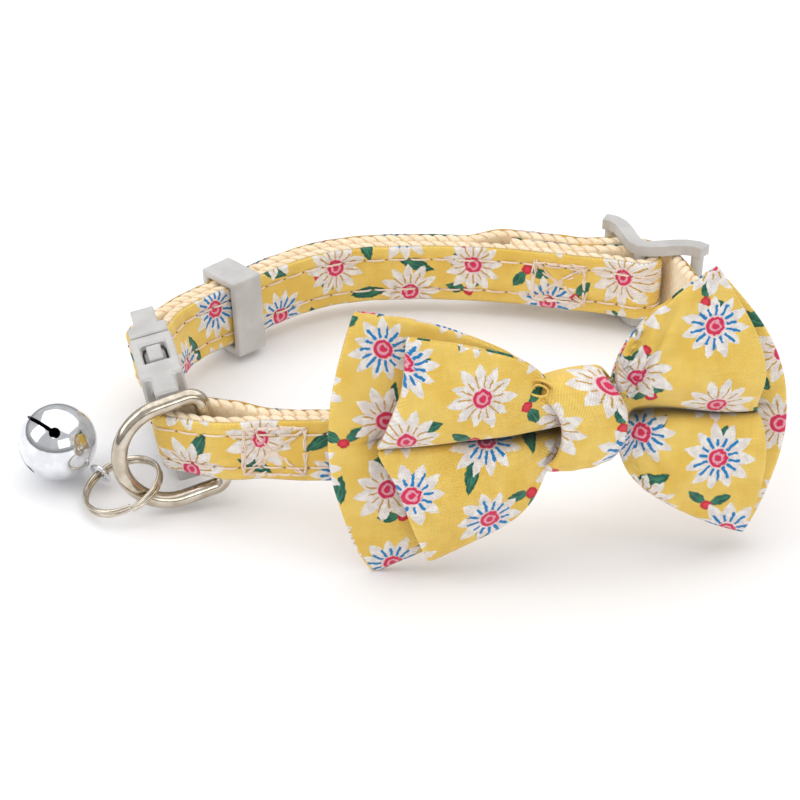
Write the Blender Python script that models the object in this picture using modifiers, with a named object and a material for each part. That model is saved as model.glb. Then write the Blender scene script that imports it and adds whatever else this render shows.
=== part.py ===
"""Pet bow tie collar: a narrow webbing strap with a printed cotton cover, a side release buckle, a slider,
a keeper loop, a D-ring with a split ring and a jingle bell, and a two layer cotton bow on an elastic loop.

Metres, +Z up. The collar lies on the plane z = 0 and the bow faces -Y. The origin is the middle of its base.
"""
import math

import bmesh
import bpy
import numpy as np
from mathutils import Matrix, Vector

MM = 0.001
UP = np.array([0.0, 0.0, 1.0])

# Strap
STRAP_WIDTH = 10.0 * MM
WEBBING = 1.0 * MM
COVER = 1.0 * MM
GAP = 0.25 * MM
LOOSE = 0.4 * MM
RING_WIDTH = 87.0 * MM
RING_DEPTH = 57.5 * MM
BACK_HEIGHT = 6.9 * MM
BOW_RISE = 10.1 * MM
TAIL_LENGTH = 20.0 * MM
TAB_LENGTH = 30.0 * MM
STRAP_STEP = 2.0 * MM
BAR_RUN = 8.0 * MM
TAIL_LEAD = 7.0 * MM
TAIL_RAMP = 6.0 * MM
DRING_LEAD = 2.0 * MM
DRING_RUN = 7.0 * MM
BUCKLE_HOLD = 1.4 * STRAP_WIDTH

# Buckle
BAR_RADIUS = 1.0 * MM
BUCKLE_WIDTH = 15.5 * MM
BUCKLE_THICKNESS = 6.4 * MM
HOUSING_LENGTH = 13.1 * MM
BUCKLE_WALL = 1.3 * MM
BUCKLE_LEAN = 11.0
WINDOW_LENGTH = 5.8 * MM
WINDOW_SETBACK = 2.6 * MM
FRAME_CLEAR = 0.45 * MM
RAIL_HALF = 1.8 * MM
RAIL_PAST_BAR = 0.2 * MM
HOUSING_CLEAR = 0.15 * MM
HOUSING_FLOOR = 2.0 * MM
BUCKLE_JOIN = 0.6 * MM
PARTING = 0.3 * MM
BAR_IN_RAIL = 0.5 * MM
BASE_STEP = 0.2 * MM
TONGUE_HALF = 1.8 * MM
ARM_CLEAR = 0.3 * MM
ARM_SIDE_CLEAR = 0.4 * MM
ARM_WIDTH = 1.5 * MM
BUTTON_LEAD = 0.4 * MM
BUTTON_SHORT = 1.2 * MM
BUTTON_DEPTH = 1.9 * MM
BUTTON_PROUD = 0.2 * MM
BUTTON_STEP = 0.5 * MM
SOCKET_EDGE = 0.35 * MM
PLUG_EDGE = 0.2 * MM

# Keeper loop and slider
KEEPER_LENGTH = 5.4 * MM
KEEPER_WALL = 1.2 * MM
KEEPER_EDGE = 0.35 * MM
SLIDER_LENGTH = 15.2 * MM
SLIDER_HEIGHT = 14.0 * MM
SLIDER_RAIL = 2.2 * MM
SLIDER_CLEAR = 0.35 * MM
SLIDER_LIFT = 0.65 * MM
SLIDER_RAMP = 11.0 * MM

# D-ring, split ring and bell
DRING_WIRE = 2.4 * MM
DRING_INNER = 13.0 * MM
DRING_DEPTH = 14.3 * MM
DRING_SETBACK = 5.6 * MM
DRING_SAG = 8.0
DRING_SWING = 33.0
SPLIT_RADIUS = 5.85 * MM
SPLIT_WIRE = 0.7 * MM
SPLIT_HEADING = 148.0
SPLIT_RISE_RIGHT = 0.34
SPLIT_RISE_BACK = 0.08
SPLIT_BEND = -45.0
SPLIT_START = -75.0
SPLIT_CLEAR = 0.03 * MM
BELL_DIAMETER = 11.7 * MM
BELL_WALL = 0.5 * MM
BELL_SLOT = 0.8 * MM
BELL_HOLE = 1.7 * MM
BELL_HEADING = -22.0
BELL_TWIST = 38.0
BELL_EYE_TURN = 128.0
BELL_SLOT_START = 8.0
EYE_RADIUS = 1.45 * MM
EYE_WIRE = 0.8 * MM
PELLET = 3.0 * MM

# Bow
PLY = 1.0 * MM
PLY_GAP = 0.4 * MM
BOW_BACK_WIDTH = 66.7 * MM
BOW_BACK_HEIGHT = 41.0 * MM
BOW_FRONT_WIDTH = 56.2 * MM
BOW_FRONT_HEIGHT = 37.5 * MM
BOW_ABOVE_STRAP = 2.9 * MM
KNOT_WIDTH = 9.6 * MM
KNOT_HEIGHT = 15.5 * MM
CREASE_DEPTH = 2.0 * MM
CREASE_WIDTH = 3.6 * MM
EDGE_FALL = 1.6 * MM
PUFF = 0.6 * MM
FRONT_FLARE = 3.2 * MM
BACK_FLARE = 1.3 * MM
ELASTIC = 1.0 * MM
ELASTIC_WIDTH = 7.0 * MM
ELASTIC_CORNER = 1.0 * MM
KNOT_CORNER = 1.6 * MM
KNOT_SQUEEZE = 1.0 * MM

# The strap's middle line, clockwise from above, from the male buckle's bar to the female one's. Across is
# a share of RING_WIDTH, deep a share of RING_DEPTH, rise a share of BOW_RISE above BACK_HEIGHT, and lean is
# in degrees, outwards from upright.
STATIONS = (
    # name, across, deep, rise, lean
    ("male_bar", -0.430, 0.310, 0.13, 11),
    ("left", -0.372, 0.468, 0.05, 8),
    ("keeper", -0.296, 0.580, 0.00, 5),
    ("back_left", -0.150, 0.740, 0.00, 2),
    ("back", 0.036, 0.786, 0.00, 1),
    ("back_right", 0.220, 0.756, 0.02, 3),
    ("slider", 0.415, 0.655, 0.06, 6),
    ("right_back", 0.530, 0.510, 0.16, 5),
    ("right", 0.576, 0.320, 0.34, 1),
    ("right_front", 0.548, 0.060, 0.62, -6),
    ("bow_right", 0.460, -0.125, 0.86, -11),
    ("bow", 0.310, -0.197, 1.00, -12),
    ("front", 0.120, -0.228, 0.78, -12),
    ("front_left", -0.110, -0.212, 0.54, -10),
    ("d_ring", -0.244, -0.166, 0.40, -5),
    ("female_bar", -0.376, -0.102, 0.34, 0),
)

# Corners of the bow's layers, as shares of each layer's width and height. Reach is from the knot to the end's
# middle, top_reach and bottom_reach to its corners, and the heights are those of the corners above and below.
WINGS = (
    # layer, side, reach, top_reach, bottom_reach, top, bottom
    ("back", -1, 0.564, 0.496, 0.477, 0.461, 0.516),
    ("back", 1, 0.420, 0.288, 0.340, 0.456, 0.470),
    ("front", -1, 0.555, 0.463, 0.434, 0.405, 0.512),
    ("front", 1, 0.440, 0.322, 0.385, 0.552, 0.500),
)

COLLAR = bpy.data.collections.new("pet_bow_tie_collar")
CUTTERS = bpy.data.collections.new("cutters")


def smooth(x):
    """Rises from 0 to 1 as x does, level at both ends."""
    x = np.clip(x, 0.0, 1.0)
    return x * x * (3.0 - 2.0 * x)


def unit(v):
    v = np.asarray(v, float)
    return v / np.linalg.norm(v)


def clear_scene():
    for obj in list(bpy.data.objects):
        bpy.data.objects.remove(obj, do_unlink=True)
    for collection in (COLLAR, CUTTERS):
        bpy.context.scene.collection.children.link(collection)


def material(name, colour, roughness, metallic=0.0):
    mat = bpy.data.materials.new(name)
    mat.use_nodes = True
    shader = mat.node_tree.nodes["Principled BSDF"]
    shader.inputs["Base Color"].default_value = (*colour, 1.0)
    shader.inputs["Roughness"].default_value = roughness
    shader.inputs["Metallic"].default_value = metallic
    return mat


def add_object(name, data, mat, matrix=None):
    obj = bpy.data.objects.new(name, data)
    COLLAR.objects.link(obj)
    obj.data.materials.append(mat)
    if matrix is not None:
        obj.matrix_world = matrix
    return obj


def shade(mesh, degrees=35.0):
    mesh.shade_smooth()
    mesh.set_sharp_from_angle(angle=math.radians(degrees))


def mesh_from(bm, name):
    mesh = bpy.data.meshes.new(name)
    bmesh.ops.recalc_face_normals(bm, faces=bm.faces)
    bm.to_mesh(mesh)
    bm.free()
    shade(mesh)
    return mesh


def frame_matrix(origin, x_axis, y_axis, z_axis):
    matrix = Matrix.Identity(4)
    for column, axis in enumerate((x_axis, y_axis, z_axis, origin)):
        for row in range(3):
            matrix[row][column] = float(axis[row])
    return matrix


def box(bm, low, high):
    """A box between two corners, added to bm."""
    low = np.array(low, float)
    high = np.array(high, float)
    centre = Vector((low + high) / 2)
    size = Vector(high - low)
    place = Matrix.Translation(centre) @ Matrix.Diagonal((*size, 1.0))
    bmesh.ops.create_cube(bm, size=1.0, matrix=place)


def cylinder(bm, radius, start, end, segments=20):
    """A rod between two points, added to bm."""
    start = Vector(start)
    end = Vector(end)
    axis = end - start
    place = Matrix.Translation((start + end) / 2) @ axis.to_track_quat("Z", "Y").to_matrix().to_4x4()
    bmesh.ops.create_cone(bm, cap_ends=True, segments=segments, radius1=radius, radius2=radius,
                          depth=axis.length, matrix=place)


def tool_object(name, build, matrix=None):
    """A hidden mesh for a Boolean, in the cutters' collection."""
    bm = bmesh.new()
    build(bm)
    obj = bpy.data.objects.new(name, mesh_from(bm, name))
    CUTTERS.objects.link(obj)
    obj.hide_render = True
    obj.display_type = "WIRE"
    if matrix is not None:
        obj.matrix_world = matrix
    return obj


def boolean(obj, tool, operation):
    modifier = obj.modifiers.new(tool.name, "BOOLEAN")
    modifier.operation = operation
    modifier.solver = "EXACT"
    modifier.object = tool


def add_bevel(obj, width, segments=2):
    bevel = obj.modifiers.new("rounded_edges", "BEVEL")
    bevel.width = width
    bevel.segments = segments
    bevel.limit_method = "ANGLE"
    bevel.angle_limit = math.radians(40.0)
    bevel.use_clamp_overlap = True


def solidify(obj, thickness):
    shell = obj.modifiers.new("wall", "SOLIDIFY")
    shell.thickness = thickness
    shell.offset = 0.0
    shell.use_even_offset = True


def sheet(name, rows, mat, thickness, closed=False):
    """A cloth or band from rows of points, each row across it, thickened both ways."""
    rows = np.asarray(rows, float)
    bm = bmesh.new()
    grid = [[bm.verts.new(point) for point in row] for row in rows]
    count = len(grid)
    for i in range(count if closed else count - 1):
        here = grid[i]
        after = grid[(i + 1) % count]
        for j in range(len(here) - 1):
            bm.faces.new((here[j], after[j], after[j + 1], here[j + 1]))
    mesh = bpy.data.meshes.new(name)
    bm.to_mesh(mesh)
    bm.free()
    shade(mesh)
    obj = add_object(name, mesh, mat)
    solidify(obj, thickness)
    return obj


def wire(name, points, radius, mat, closed=False, resolution=2):
    """A round wire through points, with filled ends."""
    curve = bpy.data.curves.new(name, "CURVE")
    curve.dimensions = "3D"
    curve.bevel_depth = radius
    curve.bevel_resolution = resolution
    curve.use_fill_caps = True
    spline = curve.splines.new("POLY")
    spline.points.add(len(points) - 1)
    for point, place in zip(spline.points, points):
        point.co = (*place, 1.0)
    spline.use_cyclic_u = closed
    return add_object(name, curve, mat)


def rounded_rectangle(half_x, half_y, radius, steps=4):
    """Points round a rectangle with rounded corners, anticlockwise."""
    radius = min(radius, half_x, half_y)
    points = []
    for corner, (sx, sy) in enumerate(((1, 1), (-1, 1), (-1, -1), (1, -1))):
        for step in range(steps + 1):
            turn = math.radians(90.0 * (corner + step / steps))
            x = sx * (half_x - radius) + radius * math.cos(turn)
            y = sy * (half_y - radius) + radius * math.sin(turn)
            points.append((x, y))
    return points


class Ring:
    """The strap's middle line with its outward and upward directions, by length along it."""

    def __init__(self, buckle_up):
        names = [row[0] for row in STATIONS]
        table = np.array([row[1:] for row in STATIONS], float)
        across, deep, rise, lean = table.T
        knots = np.stack([across * RING_WIDTH, deep * RING_DEPTH, BACK_HEIGHT + rise * BOW_RISE], -1)
        chord = np.concatenate([[0.0], np.cumsum(np.linalg.norm(np.diff(knots, axis=0), axis=1))])
        samples = np.linspace(0.0, chord[-1], 1500)
        line = np.stack([natural_spline(chord, knots[:, k], samples) for k in range(3)], -1)
        leans = np.radians(np.interp(samples, chord, lean))
        steps = np.linalg.norm(np.diff(line, axis=0), axis=1)
        self.s = np.concatenate([[0.0], np.cumsum(steps)])
        self.length = self.s[-1]
        self.line = line
        self.leans = leans
        self.buckle_up = buckle_up
        self.at = dict(zip(names, np.interp(chord, samples, self.s)))

    def frame(self, s):
        """Place, along, outward and up directions at s. Past the ends it runs on straight."""
        inside = min(max(s, 0.0), self.length)
        near = 0.5 * MM
        centre = self._place(inside)
        along = unit(self._place(inside + near) - self._place(inside - near))
        outward = unit([-along[1], along[0], 0.0])
        lean = np.interp(inside, self.s, self.leans)
        up = math.cos(lean) * UP + math.sin(lean) * outward
        from_end = min(inside, self.length - inside)
        hold = 1.0 - float(smooth(from_end / BUCKLE_HOLD))
        up = unit((1.0 - hold) * up + hold * self.buckle_up)
        outward = unit(np.cross(up, along))
        along = np.cross(outward, up)
        return centre + (s - inside) * along, along, outward, up

    def _place(self, s):
        return np.array([np.interp(s, self.s, self.line[:, k]) for k in range(3)])

    def point(self, s, n, v=0.0):
        centre, _, outward, up = self.frame(s)
        return centre + n * outward + v * up

    def matrix(self, s, n=0.0, v=0.0):
        """Local X along the strap, Y outward and Z up."""
        centre, along, outward, up = self.frame(s)
        return frame_matrix(centre + n * outward + v * up, along, outward, up)


def natural_spline(knots, values, at):
    """A cubic spline through values at knots, free at both ends."""
    count = len(knots)
    h = np.diff(knots)
    system = np.eye(count)
    rhs = np.zeros(count)
    for i in range(1, count - 1):
        system[i, i - 1 : i + 2] = h[i - 1], 2 * (h[i - 1] + h[i]), h[i]
        rhs[i] = 6 * ((values[i + 1] - values[i]) / h[i] - (values[i] - values[i - 1]) / h[i - 1])
    bend = np.linalg.solve(system, rhs)
    i = np.clip(np.searchsorted(knots, at) - 1, 0, count - 2)
    a = (knots[i + 1] - at) / h[i]
    b = 1.0 - a
    curve = ((a**3 - a) * bend[i] + (b**3 - b) * bend[i + 1]) * h[i] ** 2 / 6
    return a * values[i] + b * values[i + 1] + curve


def bar_places():
    """The two buckle bars, from the ends of the strap's table, and the buckle's own directions."""
    ends = {row[0]: row for row in STATIONS}
    places = []
    for name in ("female_bar", "male_bar"):
        _, across, deep, rise, _ = ends[name]
        places.append(np.array([across * RING_WIDTH, deep * RING_DEPTH, BACK_HEIGHT + rise * BOW_RISE]))
    female, male = places
    along = unit(male - female)
    outward = unit([-along[1], along[0], 0.0])
    lean = math.radians(BUCKLE_LEAN)
    up = math.cos(lean) * UP + math.sin(lean) * outward
    up = unit(up - np.dot(up, along) * along)
    return female, male, along, np.cross(up, along), up


FOLD = BAR_RADIUS + GAP + WEBBING / 2
HALF_LAYERS = (GAP + WEBBING) / 2
LAYER = WEBBING + GAP + COVER
COVER_OFFSET = WEBBING / 2 + GAP + COVER / 2
DRING_SPREAD = DRING_WIRE / 2 + GAP + WEBBING / 2
SLIDER_BAR_N = FOLD + SLIDER_LIFT
OVER_FOLD = SLIDER_BAR_N + FOLD + LAYER + 2 * GAP


def outer_offset(s, ring):
    """How far the strap's outer layer stands off the middle line."""
    slider = ring.at["slider"]
    tail_end = slider - TAIL_LENGTH
    n = HALF_LAYERS + (FOLD - HALF_LAYERS) * (1.0 - smooth(s / BAR_RUN))
    n += (LAYER + GAP) * smooth((s - tail_end + TAIL_LEAD) / TAIL_RAMP)
    climb = (s - slider + SLIDER_RAMP) / (0.9 * SLIDER_RAMP)
    n += (OVER_FOLD - HALF_LAYERS - LAYER - GAP) * smooth(climb)
    n -= (OVER_FOLD - HALF_LAYERS) * smooth((s - slider) / SLIDER_RAMP)
    return n + end_spread(ring.length - s)


def end_spread(from_end):
    """The layers' extra parting round the D-ring's bar and the female buckle's bar."""
    past_ring = (from_end - DRING_SETBACK - DRING_LEAD) / DRING_RUN
    spread = (DRING_SPREAD - HALF_LAYERS) * (1.0 - smooth(past_ring))
    return spread + (FOLD - DRING_SPREAD) * (1.0 - smooth(from_end / DRING_SETBACK))


def inner_offset(s, slider):
    spread = (FOLD - HALF_LAYERS) * (1.0 - smooth(s / BAR_RUN))
    rise = (SLIDER_BAR_N - FOLD + HALF_LAYERS) * smooth((s - slider + SLIDER_RAMP) / SLIDER_RAMP)
    return rise - HALF_LAYERS - spread


def tail_offset(s, slider):
    climb = (s - slider + SLIDER_RAMP) / SLIDER_RAMP
    return HALF_LAYERS + (SLIDER_BAR_N + FOLD - HALF_LAYERS) * smooth(climb)


def fold_points(s_bar, n_bar, direction, steps=8):
    """Half a turn round a bar, from its near side to its far side, clockwise seen from above."""
    points = []
    for step in range(1, steps):
        turn = math.pi * step / steps
        points.append((s_bar + direction * FOLD * math.sin(turn), n_bar + direction * FOLD * math.cos(turn)))
    return points


def span(start, end):
    """Even steps from start to end, both included."""
    count = max(2, int(round(abs(end - start) / STRAP_STEP)) + 1)
    return np.linspace(start, end, count)


def strap_route(ring):
    """The webbing's own line as (s, n), from the sewn tail's end to the end of the tab behind the bow."""
    slider = ring.at["slider"]
    route = [(s, tail_offset(s, slider)) for s in span(slider - TAIL_LENGTH, slider)]
    route += fold_points(slider, SLIDER_BAR_N, 1)
    route += [(s, inner_offset(s, slider)) for s in span(slider, 0.0)]
    route += fold_points(0.0, 0.0, -1)
    route += [(s, outer_offset(s, ring)) for s in span(0.0, ring.length)]
    route += fold_points(ring.length, 0.0, 1)
    tab = span(ring.length, ring.length - TAB_LENGTH)
    route += [(s, -HALF_LAYERS - end_spread(ring.length - s)) for s in tab]
    return route


def strap_rows(ring, offset):
    """The strap's two edges along its route, moved by offset to its printed side."""
    places = []
    ups = []
    for s, n in strap_route(ring):
        places.append(ring.point(s, n))
        ups.append(ring.frame(s)[3])
    places = np.array(places)
    ups = np.array(ups)
    ahead = np.gradient(places, axis=0)
    sides = np.cross(ups, ahead)
    sides /= np.linalg.norm(sides, axis=1)[:, None]
    line = places + offset * sides
    half = STRAP_WIDTH / 2
    return np.stack([line - half * ups, line, line + half * ups], axis=1)


def make_strap(ring, mats):
    sheet("strap_webbing", strap_rows(ring, 0.0), mats["webbing"], WEBBING)
    sheet("strap_cover", strap_rows(ring, COVER_OFFSET), mats["print"], COVER)


SLOT_REACH = FOLD + WEBBING / 2 + GAP + COVER + GAP
FRAME_INNER = STRAP_WIDTH / 2 + FRAME_CLEAR
HOUSING_START = SLOT_REACH + HOUSING_CLEAR
HOUSING_END = HOUSING_START + HOUSING_LENGTH
CAVITY_HALF = BUCKLE_THICKNESS / 2 - BUCKLE_WALL
CAVITY_WIDTH = BUCKLE_WIDTH / 2 - BUCKLE_WALL
WINDOW_START = HOUSING_END - WINDOW_SETBACK - WINDOW_LENGTH


def join_boxes(bm_boxes, name, mat, matrix):
    """A solid from overlapping boxes and rods, joined by Boolean unions."""
    first, *others = bm_boxes
    bm = bmesh.new()
    first(bm)
    obj = add_object(name, mesh_from(bm, name), mat, matrix)
    for number, build in enumerate(others):
        boolean(obj, tool_object(f"{name}_part_{number}", build, matrix), "UNION")
    return obj


def frame_end(bar_at, toward):
    """The boxes and the rod of a buckle's open end: two side rails and the bar that holds the strap."""
    half = BUCKLE_WIDTH / 2
    tip = bar_at - math.copysign(BAR_RADIUS + RAIL_PAST_BAR, toward - bar_at)
    low, high = sorted((tip, toward))
    rails = [
        lambda bm: box(bm, (low, -RAIL_HALF, FRAME_INNER), (high, RAIL_HALF, half)),
        lambda bm: box(bm, (low, -RAIL_HALF, -half), (high, RAIL_HALF, -FRAME_INNER)),
    ]
    end = FRAME_INNER + BAR_IN_RAIL
    return rails + [lambda bm: cylinder(bm, BAR_RADIUS, (bar_at, 0, -end), (bar_at, 0, end))]


def make_buckle(mats):
    female, male, along, outward, up = bar_places()
    matrix = frame_matrix(female, along, outward, up)
    male_bar = float(np.linalg.norm(male - female))
    half = BUCKLE_WIDTH / 2
    thick = BUCKLE_THICKNESS / 2
    join = BUCKLE_JOIN

    def housing(bm):
        box(bm, (HOUSING_START, -thick, -half), (HOUSING_END, thick, half))

    def hollow(bm):
        start = HOUSING_START + HOUSING_FLOOR
        box(bm, (start, -CAVITY_HALF, -CAVITY_WIDTH), (HOUSING_END + join, CAVITY_HALF, CAVITY_WIDTH))

    def windows(bm):
        end = WINDOW_START + WINDOW_LENGTH
        box(bm, (WINDOW_START, -CAVITY_HALF, -half - join), (end, CAVITY_HALF, half + join))

    parts = [housing] + frame_end(0.0, HOUSING_START + join)
    socket = join_boxes(parts, "buckle_female", mats["plastic"], matrix)
    boolean(socket, tool_object("buckle_hollow", hollow, matrix), "DIFFERENCE")
    boolean(socket, tool_object("buckle_windows", windows, matrix), "DIFFERENCE")
    add_bevel(socket, SOCKET_EDGE, 1)

    base_start = HOUSING_END + PARTING
    base_end = male_bar - SLOT_REACH - HOUSING_CLEAR
    arm_half = CAVITY_HALF - ARM_CLEAR
    arm_out = CAVITY_WIDTH - ARM_SIDE_CLEAR
    button_start = WINDOW_START + BUTTON_LEAD
    button_end = WINDOW_START + WINDOW_LENGTH - BUTTON_SHORT
    button_out = half + BUTTON_PROUD

    def base(bm):
        box(bm, (base_start, -thick + BASE_STEP, -half), (base_end, thick - BASE_STEP, half))

    def tongue(bm):
        near = (WINDOW_START, -arm_half, -TONGUE_HALF)
        box(bm, near, (base_start + join, arm_half, TONGUE_HALF))

    def arm(side):
        low, high = sorted((side * (arm_out - ARM_WIDTH), side * arm_out))
        start = (button_start + button_end) / 2
        return lambda bm: box(bm, (start, -arm_half, low), (base_start + join, arm_half, high))

    def button(side):
        low, high = sorted((side * (arm_out - BUTTON_DEPTH), side * button_out))
        step_in = arm_half - BUTTON_STEP
        near = (button_start, -step_in, low)
        far = (button_end, step_in, high)
        return lambda bm: box(bm, near, far)

    parts = [base, tongue, arm(-1), arm(1), button(-1), button(1)] + frame_end(male_bar, base_end - join)
    plug = join_boxes(parts, "buckle_male", mats["plastic"], matrix)
    add_bevel(plug, PLUG_EDGE, 1)


def band(name, matrix, half_out, half_up, centre_out, width, wall, radius, mat):
    """A closed band round the strap, from a rounded rectangle. Its width is along the strap."""
    rows = []
    for out, up in rounded_rectangle(half_out, half_up, radius):
        edges = [matrix @ Vector((along, centre_out + out, up)) for along in (-width / 2, 0.0, width / 2)]
        rows.append(edges)
    return sheet(name, rows, mat, wall, closed=True)


def make_keeper(ring, mats):
    """A rigid plastic loop that holds both strap layers together behind the buckle."""
    matrix = ring.matrix(ring.at["keeper"])
    out = HALF_LAYERS + COVER_OFFSET + COVER / 2 + LOOSE
    up = STRAP_WIDTH / 2 + GAP
    wall = KEEPER_WALL
    length = KEEPER_LENGTH

    def block(bm):
        box(bm, (-length / 2, -out - wall, -up - wall), (length / 2, out + wall, up + wall))

    def hole(bm):
        box(bm, (-length, -out, -up), (length, out, up))

    loop = join_boxes([block], "keeper_loop", mats["plastic"], matrix)
    boolean(loop, tool_object("keeper_hole", hole, matrix), "DIFFERENCE")
    add_bevel(loop, KEEPER_EDGE)


def make_slider(ring, mats):
    """A three bar slider, its rails bowed out over the strap at both ends and in at the middle."""
    slider = ring.at["slider"]
    reach = SLIDER_LENGTH / 2 - BAR_RADIUS
    over_cover = 1.2 * (COVER_OFFSET + COVER / 2) + GAP + BAR_RADIUS
    beside = 1.2 * BAR_RADIUS
    bars = []
    for place in (-reach, reach):
        under = max(outer_offset(slider + place + step, ring) for step in (-beside, 0.0, beside))
        bars.append((place, float(under + over_cover)))
    bars.insert(1, (0.0, SLIDER_BAR_N))
    rail_in = STRAP_WIDTH / 2 + SLIDER_CLEAR
    half = SLIDER_HEIGHT / 2
    middle = (rail_in + half) / 2

    def rail(side):
        shares = np.linspace(0.0, 1.0, 13)
        left, centre, right = bars
        rows = []
        for share in shares:
            place = -SLIDER_LENGTH / 2 + share * SLIDER_LENGTH
            end = left if place < 0 else right
            n = centre[1] + (end[1] - centre[1]) * float(smooth(abs(place) / reach))
            rows.append([ring.point(slider + place, n, side * v) for v in (rail_in, middle, half)])
        return rows

    top = sheet("slider", rail(1), mats["plastic"], SLIDER_RAIL)
    bottom = sheet("slider_rail_low", rail(-1), mats["plastic"], SLIDER_RAIL)
    COLLAR.objects.unlink(bottom)
    CUTTERS.objects.link(bottom)
    bottom.hide_render = True
    bottom.display_type = "WIRE"
    boolean(top, bottom, "UNION")
    for number, (place, n) in enumerate(bars):
        inside = rail_in + 0.6 * (half - rail_in)
        start = ring.point(slider + place, n, -inside)
        end = ring.point(slider + place, n, inside)
        rod = tool_object(f"slider_bar_{number}", lambda bm: cylinder(bm, BAR_RADIUS, start, end, 16))
        boolean(top, rod, "UNION")
    return top


def dring_line(steps=20):
    """The D-ring's wire in its own plane: X away from the bar and Y along the bar."""
    half = (DRING_INNER + DRING_WIRE) / 2
    straight = DRING_DEPTH - half
    corner = 1.6 * DRING_WIRE / 2
    points = []
    for step in range(5):
        turn = math.radians(-180.0 + 90.0 * step / 4)
        points.append((corner + corner * math.cos(turn), -half + corner + corner * math.sin(turn)))
    for step in range(steps + 1):
        turn = math.radians(-90.0 + 180.0 * step / steps)
        points.append((straight + half * math.cos(turn), half * math.sin(turn)))
    for step in range(5):
        turn = math.radians(90.0 + 90.0 * step / 4)
        points.append((corner + corner * math.cos(turn), half - corner + corner * math.sin(turn)))
    return points


def dring_frame(ring):
    """The bar's middle, and the directions away from the bar and along it."""
    centre, along, outward, up = ring.frame(ring.length - DRING_SETBACK)
    sag = math.radians(DRING_SAG)
    swing = math.radians(DRING_SWING)
    drooped = math.cos(sag) * along - math.sin(sag) * up
    bar = math.sin(sag) * along + math.cos(sag) * up
    return centre, math.cos(swing) * drooped + math.sin(swing) * outward, bar


def dring_point(ring, x, y):
    origin, away, bar = dring_frame(ring)
    return origin + x * away + y * bar


def make_dring(ring, mats):
    points = [dring_point(ring, x, y) for x, y in dring_line()]
    wire("d_ring", points, DRING_WIRE / 2, mats["nickel"], closed=True, resolution=3)


def split_ring_frame(ring):
    """The split ring's centre and axes. It lies round the D-ring's lower bend."""
    half = (DRING_INNER + DRING_WIRE) / 2
    bend = math.radians(SPLIT_BEND)
    on_wire = dring_point(ring, DRING_DEPTH - half + half * math.cos(bend), half * math.sin(bend))
    reach = SPLIT_RADIUS - (SPLIT_WIRE + DRING_WIRE) / 2
    way = math.radians(SPLIT_HEADING)
    centre = on_wire + reach * np.array([math.cos(way), math.sin(way), 0.0])
    centre[2] = SPLIT_WIRE + SPLIT_RADIUS * math.hypot(SPLIT_RISE_RIGHT, SPLIT_RISE_BACK)
    x_axis = unit([1.0, 0.0, SPLIT_RISE_RIGHT])
    y_axis = np.array([0.0, 1.0, SPLIT_RISE_BACK])
    z_axis = unit(np.cross(x_axis, y_axis))
    return centre, x_axis, np.cross(z_axis, x_axis), z_axis


def split_ring_point(ring, degrees, turn=0.0):
    """A point on the wire: degrees from the right side, and turn from -1 to 1 through the two turns."""
    centre, x_axis, y_axis, z_axis = split_ring_frame(ring)
    angle = math.radians(degrees)
    rise = turn * (SPLIT_WIRE / 2 + SPLIT_CLEAR)
    return centre + SPLIT_RADIUS * (math.cos(angle) * x_axis + math.sin(angle) * y_axis) + rise * z_axis


def make_split_ring(ring, mats):
    """Two turns of wire, one on the other, that change places over a short slope."""
    points = []
    steps = 72
    for step in range(steps + 1):
        share = step / steps
        degrees = SPLIT_START + 720.0 * share
        turn = -1.0 + 2.0 * float(smooth((share - 0.44) / 0.12))
        points.append(split_ring_point(ring, degrees, turn))
    wire("split_ring", points, SPLIT_WIRE / 2, mats["nickel"])


def bell_places(ring):
    """The bell's centre, its eye's centre and the direction from the bell to its eye."""
    radius = BELL_DIAMETER / 2
    eye = split_ring_point(ring, BELL_EYE_TURN)
    reach = radius + EYE_RADIUS + EYE_WIRE / 2 + GAP
    drop = (radius - eye[2]) / reach
    flat = math.sqrt(1.0 - drop * drop)
    heading = math.radians(BELL_HEADING)
    axis = np.array([flat * math.cos(heading), flat * math.sin(heading), -drop])
    return eye - reach * axis, eye, axis


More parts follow.
